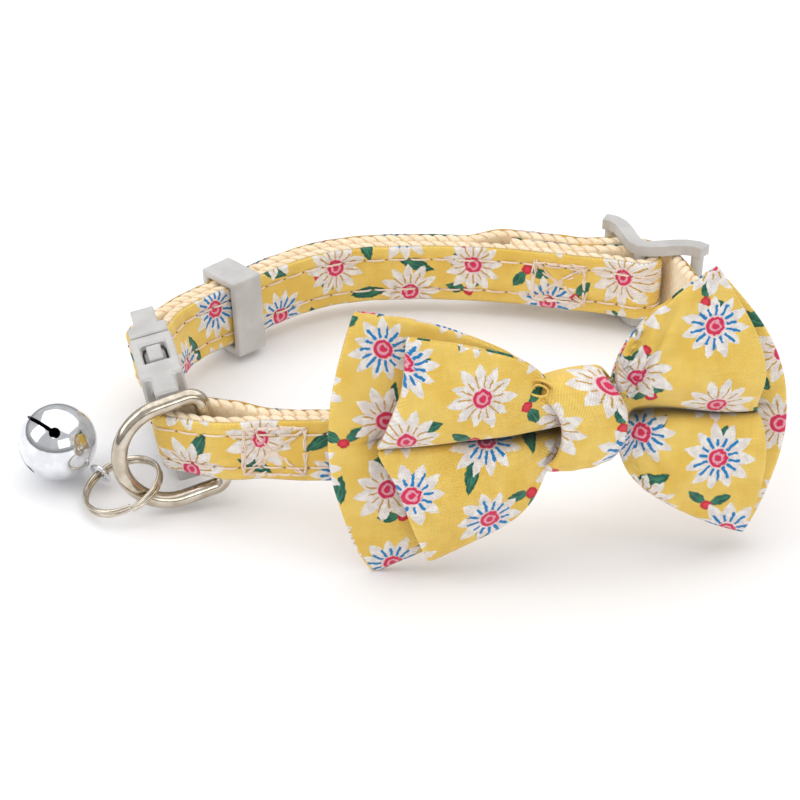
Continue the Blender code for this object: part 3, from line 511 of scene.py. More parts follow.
def printed_cotton(name):
    """Yellow plain weave cotton, printed with daisies, leaves and small red buds, in millimetres."""
    g = Graph(name, 0.82, sheen=0.25, specular=0.25)
    u, v, _ = g.split(g.node("UVMap", uv_map="cloth")[0])
    x0, y0 = u * UV_MM, v * UV_MM
    flat = g.join(x0, y0)
    # The print's edges wander a little, as ink does on a weave
    ragged = g.noise(flat, 1.6) - 0.5
    x = x0 + ragged * 0.55
    y = y0 + (g.noise(g.join(y0, x0, 7.0), 1.6) - 0.5) * 0.55
    shade = g.noise(flat, 0.16)
    colour = g.mix(g.ramp(shade, 0.35, 0.65), rgb(245, 203, 92), rgb(252, 216, 112))

    # Leaves, single or in pairs with a red bud. A pair is one leaf, mirrored in a line through the bud
    px, py, column, row, pick = cell_place(g, x + 3.1, y + 4.4, LEAF_CELL, 3.7, 0.22)
    r1, r2, _ = g.random(column, row, 9.1)
    lx, ly = turned(g, px, py, pick * math.tau)
    paired, shown = r1 > 0.55, r2 > 0.22
    wx, wy = turned(g, lx, abs(ly), 0.95)
    along = lx + paired * (wx - lx) - paired * 2.1
    across = ly + paired * (wy - ly)
    share = along / (3.1 - paired * 1.35)
    wide = (1.0 - abs(share) ** 1.8) * (1.05 - paired * 0.15)
    leaf = g.below(abs(across), wide, 0.10) * shown
    streak = g.noise(g.join(along * 0.6, across * 2.6, 2.0), 1.0, 3.0)
    green = g.mix(g.ramp(streak, 0.38, 0.66), rgb(18, 84, 70), rgb(58, 132, 104))
    vein = g.below(abs(across), 0.09, 0.07) * (abs(share) < 0.7)
    colour = g.mix(leaf, colour, g.mix(vein * 0.45, green, rgb(96, 168, 132)))
    from_bud = g.m("SQRT", lx * lx + ly * ly)
    bud = g.below(from_bud, 0.85, 0.12) * (paired * shown)
    colour = g.mix(bud, colour, g.mix(g.ramp(from_bud, 0.2, 0.8), rgb(238, 70, 84), rgb(206, 36, 62)))

    # Daisies
    px, py, column, row, pick = cell_place(g, x, y, DAISY_CELL, 0.3, 0.16)
    r1, r2, r3 = g.random(column, row, 5.5)
    radius = g.m("SQRT", px * px + py * py)
    angle = (g.m("ARCTAN2", py, px) + pick * math.tau) % math.tau
    petals = 10.0 + g.m("ROUND", r2 * 2.0)
    place = angle * (petals / math.tau)
    short, _, _ = g.random(g.m("FLOOR", place), column + 0.5, row + 0.25)
    beside = abs(g.m("FRACT", place) * 2.0 - 1.0)
    reach = (5.0 + r1 * 0.9) * (1.0 - short * 0.16)
    flower = g.below(radius, reach * (1.0 - beside**1.12 * 0.38), 0.08)
    white = g.mix(g.ramp(g.noise(flat, 0.9, 3.0), 0.36, 0.64), rgb(238, 229, 223), rgb(255, 250, 244))
    seam = g.ramp(beside, 0.72, 1.0) * g.ramp(radius, 1.6, 3.6)
    white = g.mix(seam * 0.2, white, rgb(222, 200, 196))
    white = g.mix(g.below(radius, 1.9, 1.3) * 0.35, white, rgb(244, 196, 204))
    colour = g.mix(flower, colour, white)

    # Stamens, blue on some and gold on others
    strokes = petals + 3.0
    place = angle * (strokes / math.tau) + 0.35
    s1, s2, _ = g.random(g.m("FLOOR", place), row + 0.5, column + 0.75)
    off = abs(g.m("FRACT", place) - 0.5) * (radius * math.tau / strokes)
    blue = r3 > 0.45
    line = g.below(off, 0.12 + blue * 0.09, 0.06)
    within = g.below(1.45 + s1 * 0.35, radius, 0.1) * g.below(radius, 2.8 + s2 * 1.1, 0.1)
    ink = g.mix(blue, rgb(206, 164, 66), rgb(30, 136, 200))
    colour = g.mix(line * within * flower, colour, ink)

    # A round centre: a pink disc with a rose ring and a rose middle
    wavy = radius + ragged * 0.5
    rose = g.m("MAXIMUM", g.below(abs(wavy - 1.12), 0.26, 0.1), g.below(wavy, 0.52, 0.12))
    heart = g.mix(rose, rgb(246, 176, 194), rgb(226, 52, 92))
    colour = g.mix(g.below(wavy, 1.42, 0.12), colour, heart)

    # Plain weave: the print is darker where the weave and its slubs lie low and a little lighter where they
    # stand high, painted shade and light on the threads
    weave = g.m("SINE", x0 * (math.tau / WEAVE_PITCH)) * g.m("SINE", y0 * (math.tau / WEAVE_PITCH))
    slub = g.noise(g.join(x0 * 0.35, y0 * 3.0), 1.0) + g.noise(g.join(x0 * 3.0, y0 * 0.35), 1.0)
    thread = weave * 0.5 + slub * 0.8
    # Painted shade: the slit attribute darkens the print in the bow's creases
    painted_weave_and_slit_shade = g.ramp(thread, 0.2, 1.5, 0.80, 1.05) * (1.0 - g.attribute("slit") * 0.82)
    return g.finish(g.scaled(colour, painted_weave_and_slit_shade), thread, 0.00009, 0.9)


def yarn(name, dark, light, scale=1.0, painted_groove_shade=None):
    """Soft yarn with fine fibres. painted_groove_shade is the painted shade between the webbing's yarns,
    where its ridge attribute is low.
    """
    g = Graph(name, 0.9, sheen=0.4, specular=0.2)
    place = g.object_mm()
    fibres = g.noise(place, 3.5 * scale, 4.0, 0.65)
    amount = fibres * 0.7 + g.noise(place, 0.35) * 0.3
    colour = g.mix(g.ramp(amount, 0.36, 0.62), dark, light)
    if painted_groove_shade:
        # Painted shade: the colour between the yarns is darker where the ridge attribute is low
        colour = g.mix(g.ramp(g.attribute("ridge"), 0.1, 0.8), painted_groove_shade, colour)
    return g.finish(colour, fibres, 0.00012, 0.6)


def moulded_plastic(name):
    g = Graph(name, 0.42, specular=0.45)
    place = g.object_mm()
    broad = g.noise(place, 0.22)
    g.put(g.inputs["Roughness"], g.ramp(broad, 0.3, 0.7, 0.36, 0.47))
    colour = g.mix(g.ramp(broad, 0.35, 0.65), rgb(190, 188, 186), rgb(203, 201, 199))
    return g.finish(colour, g.noise(place, 7.0), 0.000012, 0.5)


def plated(name, dark, light, low, high, bump):
    """Polished plate: its colour and gloss change a little, with fine scratches."""
    g = Graph(name, low, metallic=1.0)
    place = g.object_mm()
    x, y, z = g.split(place)
    scratches = g.noise(g.join(x * 0.5, y * 4.0, z * 4.0), 2.0, 3.0)
    g.put(g.inputs["Roughness"], g.ramp(scratches, 0.35, 0.7, low, high))
    colour = g.mix(g.ramp(g.noise(place, 0.5), 0.35, 0.65), dark, light)
    return g.finish(colour, scratches, bump, 0.4)


PRINT = printed_cotton("cotton_print")
CREAM = yarn("elastic_yarn", rgb(236, 205, 168), rgb(253, 240, 214))
# The webbing's yarns get painted shade between them, by the ridge attribute
WEAVE = yarn("webbing_yarn", rgb(240, 214, 176), rgb(253, 238, 208), painted_groove_shade=rgb(210, 170, 122))
THREAD = yarn("white_thread", rgb(226, 196, 172), rgb(252, 238, 222), 2.0)
# Dark brown for the needle holes: painted shade
NEEDLE_HOLE_SHADE = yarn("needle_hole_painted_shade", rgb(120, 70, 30), rgb(160, 100, 50))
PLASTIC = moulded_plastic("grey_moulding")
NICKEL = plated("polished_nickel", rgb(188, 176, 158), rgb(214, 205, 190), 0.10, 0.2, 0.00001)
CHROME = plated("mirror_chrome", rgb(224, 226, 230), rgb(240, 242, 246), 0.08, 0.14, 0.000004)
# Dark metal for the bell's inside and its pellet: painted shade
SHADE_METAL = plated("bell_inside", rgb(46, 46, 50), rgb(70, 70, 74), 0.45, 0.6, 0.00001)

# The pellet, seen only inside the bell, gets the dark metal of painted shade; the moulded parts get grey
# plastic
for node in ("buckle_female", "buckle_male", "keeper_loop", "slider", "bell_pellet"):
    materials = NODES[node].data.materials
    materials.clear()
    materials.append(SHADE_METAL if node == "bell_pellet" else PLASTIC)


# The D-ring, the split ring and the bell
def wire_mesh(name, line, normal, radius, sides, closed):
    """A smooth round wire along a line that lies in one plane, or nearly."""
    line = np.asarray(line, float)
    ahead = np.roll(line, -1, axis=0) - np.roll(line, 1, axis=0) if closed else np.gradient(line, axis=0)
    beside = units(np.cross(units(ahead), normal))
    rings = rings_round(line, beside, np.cross(beside, units(ahead)), radius, sides)
    return grid_mesh(name, rings, close_rows=closed, close_across=True, caps=not closed)


def dring_frame():
    """The bar's middle, and the directions away from the bar and along it."""
    centre, along, outward, up = RING.frame(RING.length - DRING_SETBACK)
    sag, swing = math.radians(DRING_SAG), math.radians(DRING_SWING)
    drooped = math.cos(sag) * along - math.sin(sag) * up
    bar = math.sin(sag) * along + math.cos(sag) * up
    return centre, math.cos(swing) * drooped + math.sin(swing) * outward, bar


DRING_ORIGIN, DRING_AWAY, DRING_BAR = dring_frame()


def dring_point(x, y):
    return DRING_ORIGIN + x * DRING_AWAY + y * DRING_BAR


def dring_line():
    half = (DRING_INNER + DRING_WIRE) / 2
    straight = DRING_DEPTH - half
    corner = 1.6 * DRING_WIRE / 2
    line = []

    def arc(x, y, radius, first, last, count):
        for turn in np.radians(np.linspace(first, last, count)):
            line.append((x + radius * math.cos(turn), y + radius * math.sin(turn)))

    arc(corner, corner - half, corner, -180.0, -90.0, 14)
    line += [(x, -half) for x in np.linspace(corner, straight, 10)[1:-1]]
    arc(straight, 0.0, half, -90.0, 90.0, 72)
    line += [(x, half) for x in np.linspace(straight, corner, 10)[1:-1]]
    arc(corner, half - corner, corner, 90.0, 180.0, 14)
    line += [(0.0, y) for y in np.linspace(half - corner, corner - half, 24)[1:-1]]
    return [dring_point(x, y) for x, y in line]


def split_frame():
    """The split ring's centre and axes, round the D-ring's lower bend."""
    half = (DRING_INNER + DRING_WIRE) / 2
    bend = math.radians(SPLIT_BEND)
    on_wire = dring_point(DRING_DEPTH - half + half * math.cos(bend), half * math.sin(bend))
    way = math.radians(SPLIT_HEADING)
    reach = SPLIT_RADIUS - (SPLIT_WIRE + DRING_WIRE) / 2
    centre = on_wire + reach * np.array([math.cos(way), math.sin(way), 0.0])
    centre[2] = SHIFT[2] + SPLIT_WIRE + SPLIT_RADIUS * math.hypot(SPLIT_RISE_RIGHT, SPLIT_RISE_BACK)
    x_axis = unit([1.0, 0.0, SPLIT_RISE_RIGHT])
    z_axis = unit(np.cross(x_axis, [0.0, 1.0, SPLIT_RISE_BACK]))
    return centre, x_axis, np.cross(z_axis, x_axis), z_axis


SPLIT_CENTRE, SPLIT_X, SPLIT_Y, SPLIT_Z = split_frame()


def split_point(degrees, turn=0.0):
    angle = math.radians(degrees)
    flat = SPLIT_RADIUS * (math.cos(angle) * SPLIT_X + math.sin(angle) * SPLIT_Y)
    return SPLIT_CENTRE + flat + turn * (SPLIT_WIRE / 2 + SPLIT_CLEAR) * SPLIT_Z


def split_line():
    shares = np.linspace(0.0, 1.0, 300)
    steps = 2.0 * smooth((shares - 0.44) / 0.12) - 1.0
    return [split_point(SPLIT_START + 720.0 * share, float(step)) for share, step in zip(shares, steps)]


def bell_frame():
    """The bell's middle, its eye's middle, and the direction from the bell to its eye."""
    radius = BELL_DIAMETER / 2
    eye = split_point(BELL_EYE_TURN)
    reach = radius + EYE_RADIUS + EYE_WIRE / 2 + GAP
    drop = (radius + SHIFT[2] - eye[2]) / reach
    flat = math.sqrt(1.0 - drop * drop)
    heading = math.radians(BELL_HEADING)
    axis = np.array([flat * math.cos(heading), flat * math.sin(heading), -drop])
    return eye - reach * axis, eye, axis


BELL_CENTRE, EYE_CENTRE, BELL_AXIS = bell_frame()


def bell_mesh():
    """A hollow ball with two crossed slots, and round holes at the slots' ends."""
    radius = BELL_DIAMETER / 2
    side = unit(np.cross(BELL_AXIS, UP))
    other = np.cross(BELL_AXIS, side)
    twist = math.radians(BELL_TWIST)
    x_axis = math.cos(twist) * side + math.sin(twist) * other
    y_axis = np.cross(-BELL_AXIS, x_axis)
    rise = radius * math.sin(math.radians(BELL_SLOT_START))
    reach = radius * 1.2

    def part(build, **settings):
        bm = bmesh.new()
        build(bm, **settings)
        mesh = bpy.data.meshes.new("bell_part")
        bm.to_mesh(mesh)
        bm.free()
        return add_object("bell_part", mesh)

    def ball(size):
        return part(bmesh.ops.create_uvsphere, u_segments=144, v_segments=96, radius=size)

    def slot(half_x, half_y):
        size = Matrix.Diagonal((2 * half_x, 2 * half_y, reach - rise, 1.0))
        place = Matrix.Translation((0.0, 0.0, (reach + rise) / 2)) @ size
        return part(bmesh.ops.create_cube, size=1.0, matrix=place)

    def hole(axis):
        place = Matrix.Translation((0.0, 0.0, rise)) @ Matrix.Rotation(math.pi / 2, 4, axis)
        size = {"radius1": BELL_HOLE / 2, "radius2": BELL_HOLE / 2, "depth": 2 * reach}
        return part(bmesh.ops.create_cone, cap_ends=True, segments=48, matrix=place, **size)

    shell = ball(radius)
    slots = [slot(reach, BELL_SLOT / 2), slot(BELL_SLOT / 2, reach)]
    cutters = [ball(radius - BELL_WALL), *slots, hole("Y"), hole("X")]
    for cutter in cutters:
        cut = shell.modifiers.new("cut", "BOOLEAN")
        cut.operation = "DIFFERENCE"
        cut.solver = "EXACT"
        cut.object = cutter
    bpy.context.view_layer.update()
    made = bpy.data.meshes.new_from_object(shell.evaluated_get(bpy.context.evaluated_depsgraph_get()))
    for obj in [shell] + cutters:
        bpy.data.objects.remove(obj, do_unlink=True)
    bm = bmesh.new()
    bm.from_mesh(made)
    bmesh.ops.triangulate(bm, faces=[face for face in bm.faces if len(face.verts) > 4])
    bmesh.ops.remove_doubles(bm, verts=bm.verts, dist=SLIVER)
    bmesh.ops.dissolve_degenerate(bm, dist=SLIVER, edges=bm.edges)
    bm.to_mesh(made)
    bm.free()
    # Faces inside the ball get the dark metal of painted shade, the outer faces chrome
    inside = [int(face.center.length < radius - 0.02 * MM) for face in made.polygons]
    made.transform(placing(x_axis, y_axis, -BELL_AXIS, BELL_CENTRE))
    made.name = "bell_ball"
    made.materials.clear()
    for mat in (CHROME, SHADE_METAL):
        made.materials.append(mat)
    made.polygons.foreach_set("material_index", inside)
    made.shade_smooth()
    made.set_sharp_from_angle(angle=math.radians(28.0))
    return made


def eye_mesh():
    ahead = unit(split_point(BELL_EYE_TURN + 2.0) - split_point(BELL_EYE_TURN - 2.0))
    normal = unit(ahead - np.dot(ahead, BELL_AXIS) * BELL_AXIS)
    across = np.cross(normal, BELL_AXIS)
    line = rings_round(EYE_CENTRE[None], BELL_AXIS[None], across[None], EYE_RADIUS, 72)[0]
    return wire_mesh("bell_wire_eye", line, normal, EYE_WIRE / 2, 20, True)


mesh = wire_mesh("polished_ring", dring_line(), np.cross(DRING_AWAY, DRING_BAR), DRING_WIRE / 2, 32, True)
add_piece(mesh, NICKEL, ["d_ring"])
mesh = wire_mesh("wire_coil", split_line(), SPLIT_Z, SPLIT_WIRE / 2, 16, False)
add_piece(mesh, NICKEL, ["split_ring"])
add_piece(bell_mesh(), None, ["bell_shell"])
add_piece(eye_mesh(), CHROME, ["bell_eye"])

# The strap
STRIP = Strip(0.26 * MM)
WEB_BACK = -0.50 * MM
WEB_FRONT = 1.22 * MM
PRINT_TOP = COVER_OFFSET + COVER / 2
STITCH_V = 2.7 * MM
STITCH_PITCH = 3.6 * MM
YARN_PITCH = 1.9 * MM
EDGE_YARN = 0.55 * MM
PRINT_STEP = 0.45 * MM
THREAD_RADIUS = 0.15 * MM
MARK_RADIUS = 0.12 * MM


def webbing_rows():
    """The thick cream webbing: its edges show yarns that turn back, and its faces a coarse weave."""
    depth = (WEB_FRONT - WEB_BACK) / 2
    middle = (WEB_FRONT + WEB_BACK) / 2
    flat = STRAP_WIDTH / 2 - EDGE_YARN
    outline = []
    for side in (1, -1):
        outline += [(side * v, side * depth, 0) for v in np.linspace(-flat, flat, 11)]
        for k in range(1, 6):
            turn = side * math.pi / 2 - math.pi * k / 6
            outline.append((side * flat + EDGE_YARN * math.cos(turn), depth * math.sin(turn), 1))
    outline = np.array(outline)
    rows, ridges = [], []
    for t in STRIP.t:
        phase = math.tau * t / YARN_PITCH
        v, n, edge = outline.T.copy()
        # Yarns lean across the edge, so their bumps run slantwise
        lean = phase + 2.2 * n / depth
        bump = np.abs(np.sin(lean / 2)) ** 0.6
        push = 0.34 * MM * (bump - 0.75)
        v += edge * push * np.sign(v)
        weave = np.sin(phase + math.pi * np.round(v / (0.9 * MM))) * 0.06 * MM
        n += (1 - edge) * weave * np.sign(n) + edge * push * 0.5 * np.sign(n)
        rows.append(STRIP.at(np.full(len(v), t), middle + n, v))
        # These ridge heights also set the painted shade between the yarns
        ridges.append(np.where(edge > 0, bump, 0.75 + weave / (0.24 * MM)))
    return rows, np.concatenate(ridges)


def cover_rows():
    """The printed cotton: folded under at both edges, drawn down by its stitches and a little puckered."""
    half = STRAP_WIDTH / 2
    outer = np.linspace(-1, 1, 25)
    rows, uvs = [], []
    for t in np.arange(0, STRIP.t[-1], PRINT_STEP):
        v_out = outer * (half - 0.08 * MM)
        stitch = np.exp(-(((np.abs(v_out) - STITCH_V) / (0.5 * MM)) ** 2))
        pucker = 0.5 + 0.5 * np.cos(math.tau * t / STITCH_PITCH)
        crown = 0.10 * MM * np.cos(v_out / half * math.pi / 2) - stitch * (0.10 + 0.10 * pucker) * MM
        soft = np.array([wobble(t / MM, vv / MM, 0.0, 0.22) for vv in v_out]) * 0.10 * MM
        edge = np.clip((np.abs(outer) - 0.88) / 0.12, 0, 1)
        top = PRINT_TOP - 0.14 * MM + crown + soft - edge**2 * 0.42 * MM
        wave = wobble(t / MM, 3.0, 9.0, 0.3) * 0.12 * MM
        v_under = np.linspace(1, -1, 5) * (half - 0.25 * MM)
        v_all = np.concatenate([v_out, v_under]) + wave
        n_all = np.concatenate([top, np.full(5, WEB_FRONT + 0.03 * MM)])
        rows.append(STRIP.at(np.full(len(v_all), t), n_all, v_all))
        uvs.append(np.stack([np.full(len(v_all), t / MM / UV_MM), v_all / MM / UV_MM + 0.031], -1))
    return rows, uvs


def stitch_lines():
    """Two rows of long stitches on the print, the crossed box that holds the tab, and short dark dots at the
    needle holes, which are painted shade.
    """
    lines, holes = [], []
    lift = PRINT_TOP - 0.10 * MM

    def stitch(t0, v0, t1, v1, drop=0.0):
        share = np.linspace(0, 1, 7)
        t = t0 + (t1 - t0) * share
        v = v0 + (v1 - v0) * share
        n = lift + drop + 0.13 * MM * np.sin(math.pi * share) - 0.16 * MM * (np.abs(share - 0.5) > 0.45)
        lines.append(STRIP.at(t, n, v))

    count = int(STRIP.t[-1] / STITCH_PITCH)
    for row, sign in enumerate((-1, 1)):
        for i in range(count):
            t0 = (i + 0.12 + 0.37 * row) * STITCH_PITCH
            t1 = t0 + 0.84 * STITCH_PITCH
            stray = 0.14 * MM * wobble(i * 1.7, row * 5.0, 2.0)
            stitch(t0, sign * STITCH_V + stray, t1, sign * STITCH_V + 0.6 * stray)
            holes.append((t0 - 0.08 * STITCH_PITCH, sign * STITCH_V))

    def tack(name, s_a, s_b, half_high):
        a, b = sorted((STRIP.length_at(name, s_a), STRIP.length_at(name, s_b)))
        corners = np.array([(a, -half_high), (b, -half_high), (b, half_high), (a, half_high)])
        for number, (first, last) in enumerate(((0, 1), (1, 2), (2, 3), (3, 0), (0, 2), (1, 3))):
            start = corners[first]
            way = corners[last] - start
            pieces = max(2, int(round(math.hypot(*way) / (2.1 * MM))))
            for layer, k in np.ndindex(3, pieces):
                j0 = 0.75 * MM * wobble(number * 3.1, k * 2.3, layer * 7.0)
                j1 = 0.75 * MM * wobble(number * 5.3, k * 1.9, layer * 4.0)
                near = start + way * (k + 0.04) / pieces + (j0, j1)
                far = start + way * (k + 0.96) / pieces + (-j1, j0)
                stitch(*near, *far, 0.05 * MM * layer)
            # The second diagonal crosses the first at the mark that is there already
            if number < 5:
                holes.append(start + way * 0.5 + (0.2 * MM, 0.0))

    tack("outer", RING.length - 20.4 * MM, RING.length - 10.9 * MM, 3.8 * MM)
    tack("inner", SLIDER_AT - 15.5 * MM, SLIDER_AT - 7.5 * MM, 3.2 * MM)
    # Short dark dots at the needle holes: painted shade
    hole_shade_dots = []
    for t, v in holes:
        ends = np.array([t - 0.10 * MM, t + 0.10 * MM])
        hole_shade_dots.append(STRIP.at(ends, np.full(2, lift - 0.02 * MM), np.full(2, v)))
    return lines, hole_shade_dots


rows, ridges = webbing_rows()
mesh = grid_mesh("webbing_yarns", rows, close_across=True, caps=True)
mesh.attributes.new("ridge", "FLOAT", "POINT").data.foreach_set("value", ridges)
webbing = add_piece(mesh, WEAVE, ["strap_webbing"])
rows, uvs = cover_rows()
mesh = grid_mesh("strap_print", rows, uvs, close_across=True, caps=True)
cover = add_piece(mesh, PRINT, ["strap_cover"])
threads, hole_shade_dots = stitch_lines()
stitches = add_piece(tubes_mesh("strap_stitches", threads, THREAD_RADIUS), THREAD)
needle_hole_shades = add_piece(tubes_mesh("needle_hole_shade_marks", hole_shade_dots, MARK_RADIUS), NEEDLE_HOLE_SHADE)


# The bow
def bow_place():
    centre, along, outward, up = RING.frame(RING.at["bow"])
    return centre + BOW_STANDOFF * outward + BOW_ABOVE_STRAP * up, -along, outward, up


BOW_ORIGIN, BOW_X, BOW_Y, BOW_Z = bow_place()

# Outlines of each wing in the bow's own plane, in millimetres from its middle: the top and the bottom edge
# from knot to corner, and the end's edge from the bottom corner to the top one
OUTLINES = {
    ("front", -1): (
        [(-6.0, 5.2), (-8.3, 8.3), (-11.3, 10.7), (-15.7, 12.5), (-19.5, 13.7), (-23.4, 14.7), (-27.1, 15.6)],
        [(-5.9, -4.6), (-7.9, -7.7), (-9.4, -10.7), (-14.1, -14.8), (-20.2, -17.6), (-25.0, -19.2)],
        [(-25.0, -19.2), (-26.7, -14.8), (-28.5, -9.3), (-30.3, -4.5), (-31.8, -0.3), (-31.1, 1.4),
         (-29.8, 4.0), (-28.4, 7.2), (-27.6, 11.1), (-27.1, 15.6)],
    ),
    ("front", 1): (
        [(2.8, 5.6), (3.3, 9.2), (5.2, 12.8), (8.3, 16.0), (12.8, 19.1), (17.6, 21.7)],
        [(2.8, -4.0), (4.1, -8.0), (6.0, -10.5), (8.7, -12.7), (12.5, -15.2), (16.8, -17.5), (21.0, -19.1)],
        [(21.0, -19.1), (22.8, -12.8), (23.7, -6.3), (23.6, -2.5), (23.0, 1.0), (23.6, 4.8), (23.6, 8.1),
         (22.3, 12.7), (20.3, 16.8), (17.6, 21.7)],
    ),
    ("back", -1): (
        [(-6.1, 5.1), (-8.5, 7.3), (-11.5, 10.0), (-16.7, 12.9), (-20.9, 14.9), (-27.1, 16.9), (-33.9, 18.6)],
        [(-6.0, -4.3), (-8.8, -8.7), (-12.7, -12.9), (-18.1, -16.4), (-25.6, -19.4), (-30.1, -21.1),
         (-32.3, -22.2)],
        [(-32.3, -22.2), (-34.2, -19.2), (-36.7, -12.2), (-38.3, -4.8), (-38.4, 0.2), (-37.8, 5.9),
         (-36.2, 12.1), (-33.9, 18.6)],
    ),
    ("back", 1): (
        [(2.6, 5.2), (4.0, 9.1), (6.9, 12.7), (10.9, 15.7), (14.9, 17.9), (18.8, 19.4)],
        [(2.7, -3.9), (5.1, -8.5), (9.6, -12.8), (14.6, -16.2), (22.4, -19.7)],
        [(22.4, -19.7), (24.8, -14.4), (26.6, -9.0), (27.7, -3.7), (27.8, 0.2), (27.0, 5.5), (25.1, 10.5),
         (22.3, 14.9), (18.8, 19.4)],
    ),
}
CLOTH = 0.6 * MM
EDGE_AT = 0.965
PLY_AWAY = 0.42  # from a layer's middle to each of its two plies, in millimetres


def on_line(points, share):
    """A smooth place along a line of points, share of its length from 0 to 1."""
    knots = lengths(points)
    return natural_spline(knots, np.array(points), share * knots[-1])


def wing_sheet(layer, side, shares, heights):
    """Places across a wing in the bow's plane, filled in from its four edges, in millimetres."""
    top, bottom, end = OUTLINES[(layer, side)]
    q = (heights + 1) / 2
    upper, lower, far = on_line(top, shares), on_line(bottom, shares), on_line(end, q)
    near_low, near_high, far_low, far_high = (np.array(p) for p in (bottom[0], top[0], bottom[-1], top[-1]))
    near = near_low + q[:, None] * (near_high - near_low)
    f, q = shares[:, None, None], q[None, :, None]
    place = (1 - q) * lower[:, None] + q * upper[:, None] + (1 - f) * near[None] + f * far[None]
    place -= (1 - f) * (1 - q) * near_low + (1 - f) * q * near_high + f * (1 - q) * far_low + f * q * far_high
    return place


def crease(x, z, side):
    """The pleat that runs out from the knot, at places in millimetres: how far the cloth is drawn in, how far
    a narrow slit goes on inwards, the height over the pleat's line, and the pleat's strength there."""
    out = np.abs(x)
    fade = smooth((out - 2.8) / 3.0) * (1.0 - 0.4 * smooth((out - 8.0) / 22.0))
    narrow = 0.95 - 0.5 * smooth((out - 6.0) / 18.0)
    if side < 0:
        strength = fade * (1.0 - 0.8 * smooth((out - 30.0) / 5.0))
        line = z + 1.15 - 0.02 * out
        broad = np.where(line > 0, np.exp(-((line / 1.1) ** 2)), np.exp(-np.abs(line) / 4.0))
    else:
        strength = fade * (1.0 - 0.75 * smooth((out - 22.0) / 5.0))
        line = z + 0.15 - 1.65 * np.exp(-(((out - 9.5) / 6.5) ** 2))
        broad = np.where(line > 0, np.exp(-((line / 3.0) ** 2)), np.exp(-np.abs(line) / 2.2))
    slit = np.exp(-(((line + 0.9 * narrow + 0.2) / narrow) ** 2))
    return strength * broad, strength * slit, line, strength


# For each layer: how far its ends flare, how far the pleat draws, how far the slit goes on in its outer (1)
# and inner (-1) cloth, and where its print starts
LAYERS = {
    "front": (3.0, 2.6, {1: 2.1, -1: 1.4}, (11.0, 3.4)),
    "back": (1.2, 2.2, {1: 0.9, -1: 0.4}, (47.0, 21.0)),
}


def layer_mesh(layer):
    base = (PLY + PLY_GAP) * (1 if layer == "front" else -1)
    flare, pleat_deep, slit_deep, (at_u, at_v) = LAYERS[layer]
    shares = np.sin(np.linspace(0, math.pi / 2, 46)) ** 1.1
    heights = np.linspace(-1, 1, 97)
    bend = np.sign(heights) * np.abs(heights) ** 1.5
    loops, maps = [], []
    for face, side in ((1, -1), (1, 1), (-1, 1), (-1, -1)):
        place = wing_sheet(layer, side, shares, bend)
        x, z = place[..., 0], place[..., 1]
        out = np.clip((np.abs(x) - 4.8) / 28.0, 0, 1.3)
        draw, slit, line, strength = crease(x, z, side)
        y = base / MM + flare * out - pleat_deep * draw - slit_deep[face] * slit
        y = y - 1.6 * ((z / 20.5) ** 2 * smooth(out * 2))
        full = np.sin(math.pi * np.clip(shares / 0.99, 0, 1)) ** 0.8
        edge = 1.0 - np.abs(heights) ** 3
        belly = full[:, None] * edge[None, :]
        lobes = np.exp(-(((np.abs(z + 0.8) - 6.5) / 5.5) ** 2))
        lobes = lobes * smooth(out * 3) * (1 - 0.5 * smooth(out))
        y = y + face * PLY_AWAY
        if layer == "front":
            y = y + (belly * 0.9 + lobes * 1.4 if face == 1 else -0.1 * belly)
        elif face == -1:
            y = y - belly * 0.7
        rays = np.zeros_like(y)
        for at in np.ndindex(y.shape):
            away = max(abs(x[at]) - 3.0, 0.5)
            ray = wobble(z[at] / away * 2.2 + 7.3 * side, away * 0.03, 3.0 if layer == "front" else 9.0)
            broad = wobble(x[at] * 0.11, z[at] * 0.11, 1.5 + (face + 1) * 0.02)
            rays[at] = 1.7 * ray * math.exp(-away / 13.0) * min(1.0, away / 3.0)
            rays[at] += 0.7 * broad * min(1.0, away / 8.0)
        y = y + rays * (0.35 if layer == "back" and face == -1 else 1.0)
        fold = np.clip((shares - 0.93) / 0.07, 0, 1)
        y = y - face * PLY_AWAY * (1 - np.sqrt(1 - fold**2))[:, None]
        lip = 0.5 if side < 0 else 0.3
        hang = lip * strength * np.exp(-(((line - 1.0) / 0.8) ** 2))
        grid = np.stack([x, y, z - (hang if layer == "front" and face == 1 else 0.0)], -1) * MM
        steps = np.linalg.norm(np.diff(grid / MM, axis=1), axis=2)
        run = np.concatenate([np.zeros((len(x), 1)), np.cumsum(steps, axis=1)], axis=1)
        mid = len(heights) // 2
        v_flat = run - run[:, mid : mid + 1] + z[:, mid : mid + 1]
        u_flat = x if face == 1 else 2 * np.mean(x[-1]) - x
        # Painted shade: the print is darkened where the slit is deep
        dark = smooth(1.15 * slit)
        uv = np.stack([(u_flat + at_u) / UV_MM, (v_flat + at_v) / UV_MM, dark], -1)
        if (face == 1) == (side == -1):
            grid, uv = grid[::-1], uv[::-1]
        loops.append(grid)
        maps.append(uv)
    return np.concatenate(loops), np.concatenate(maps)


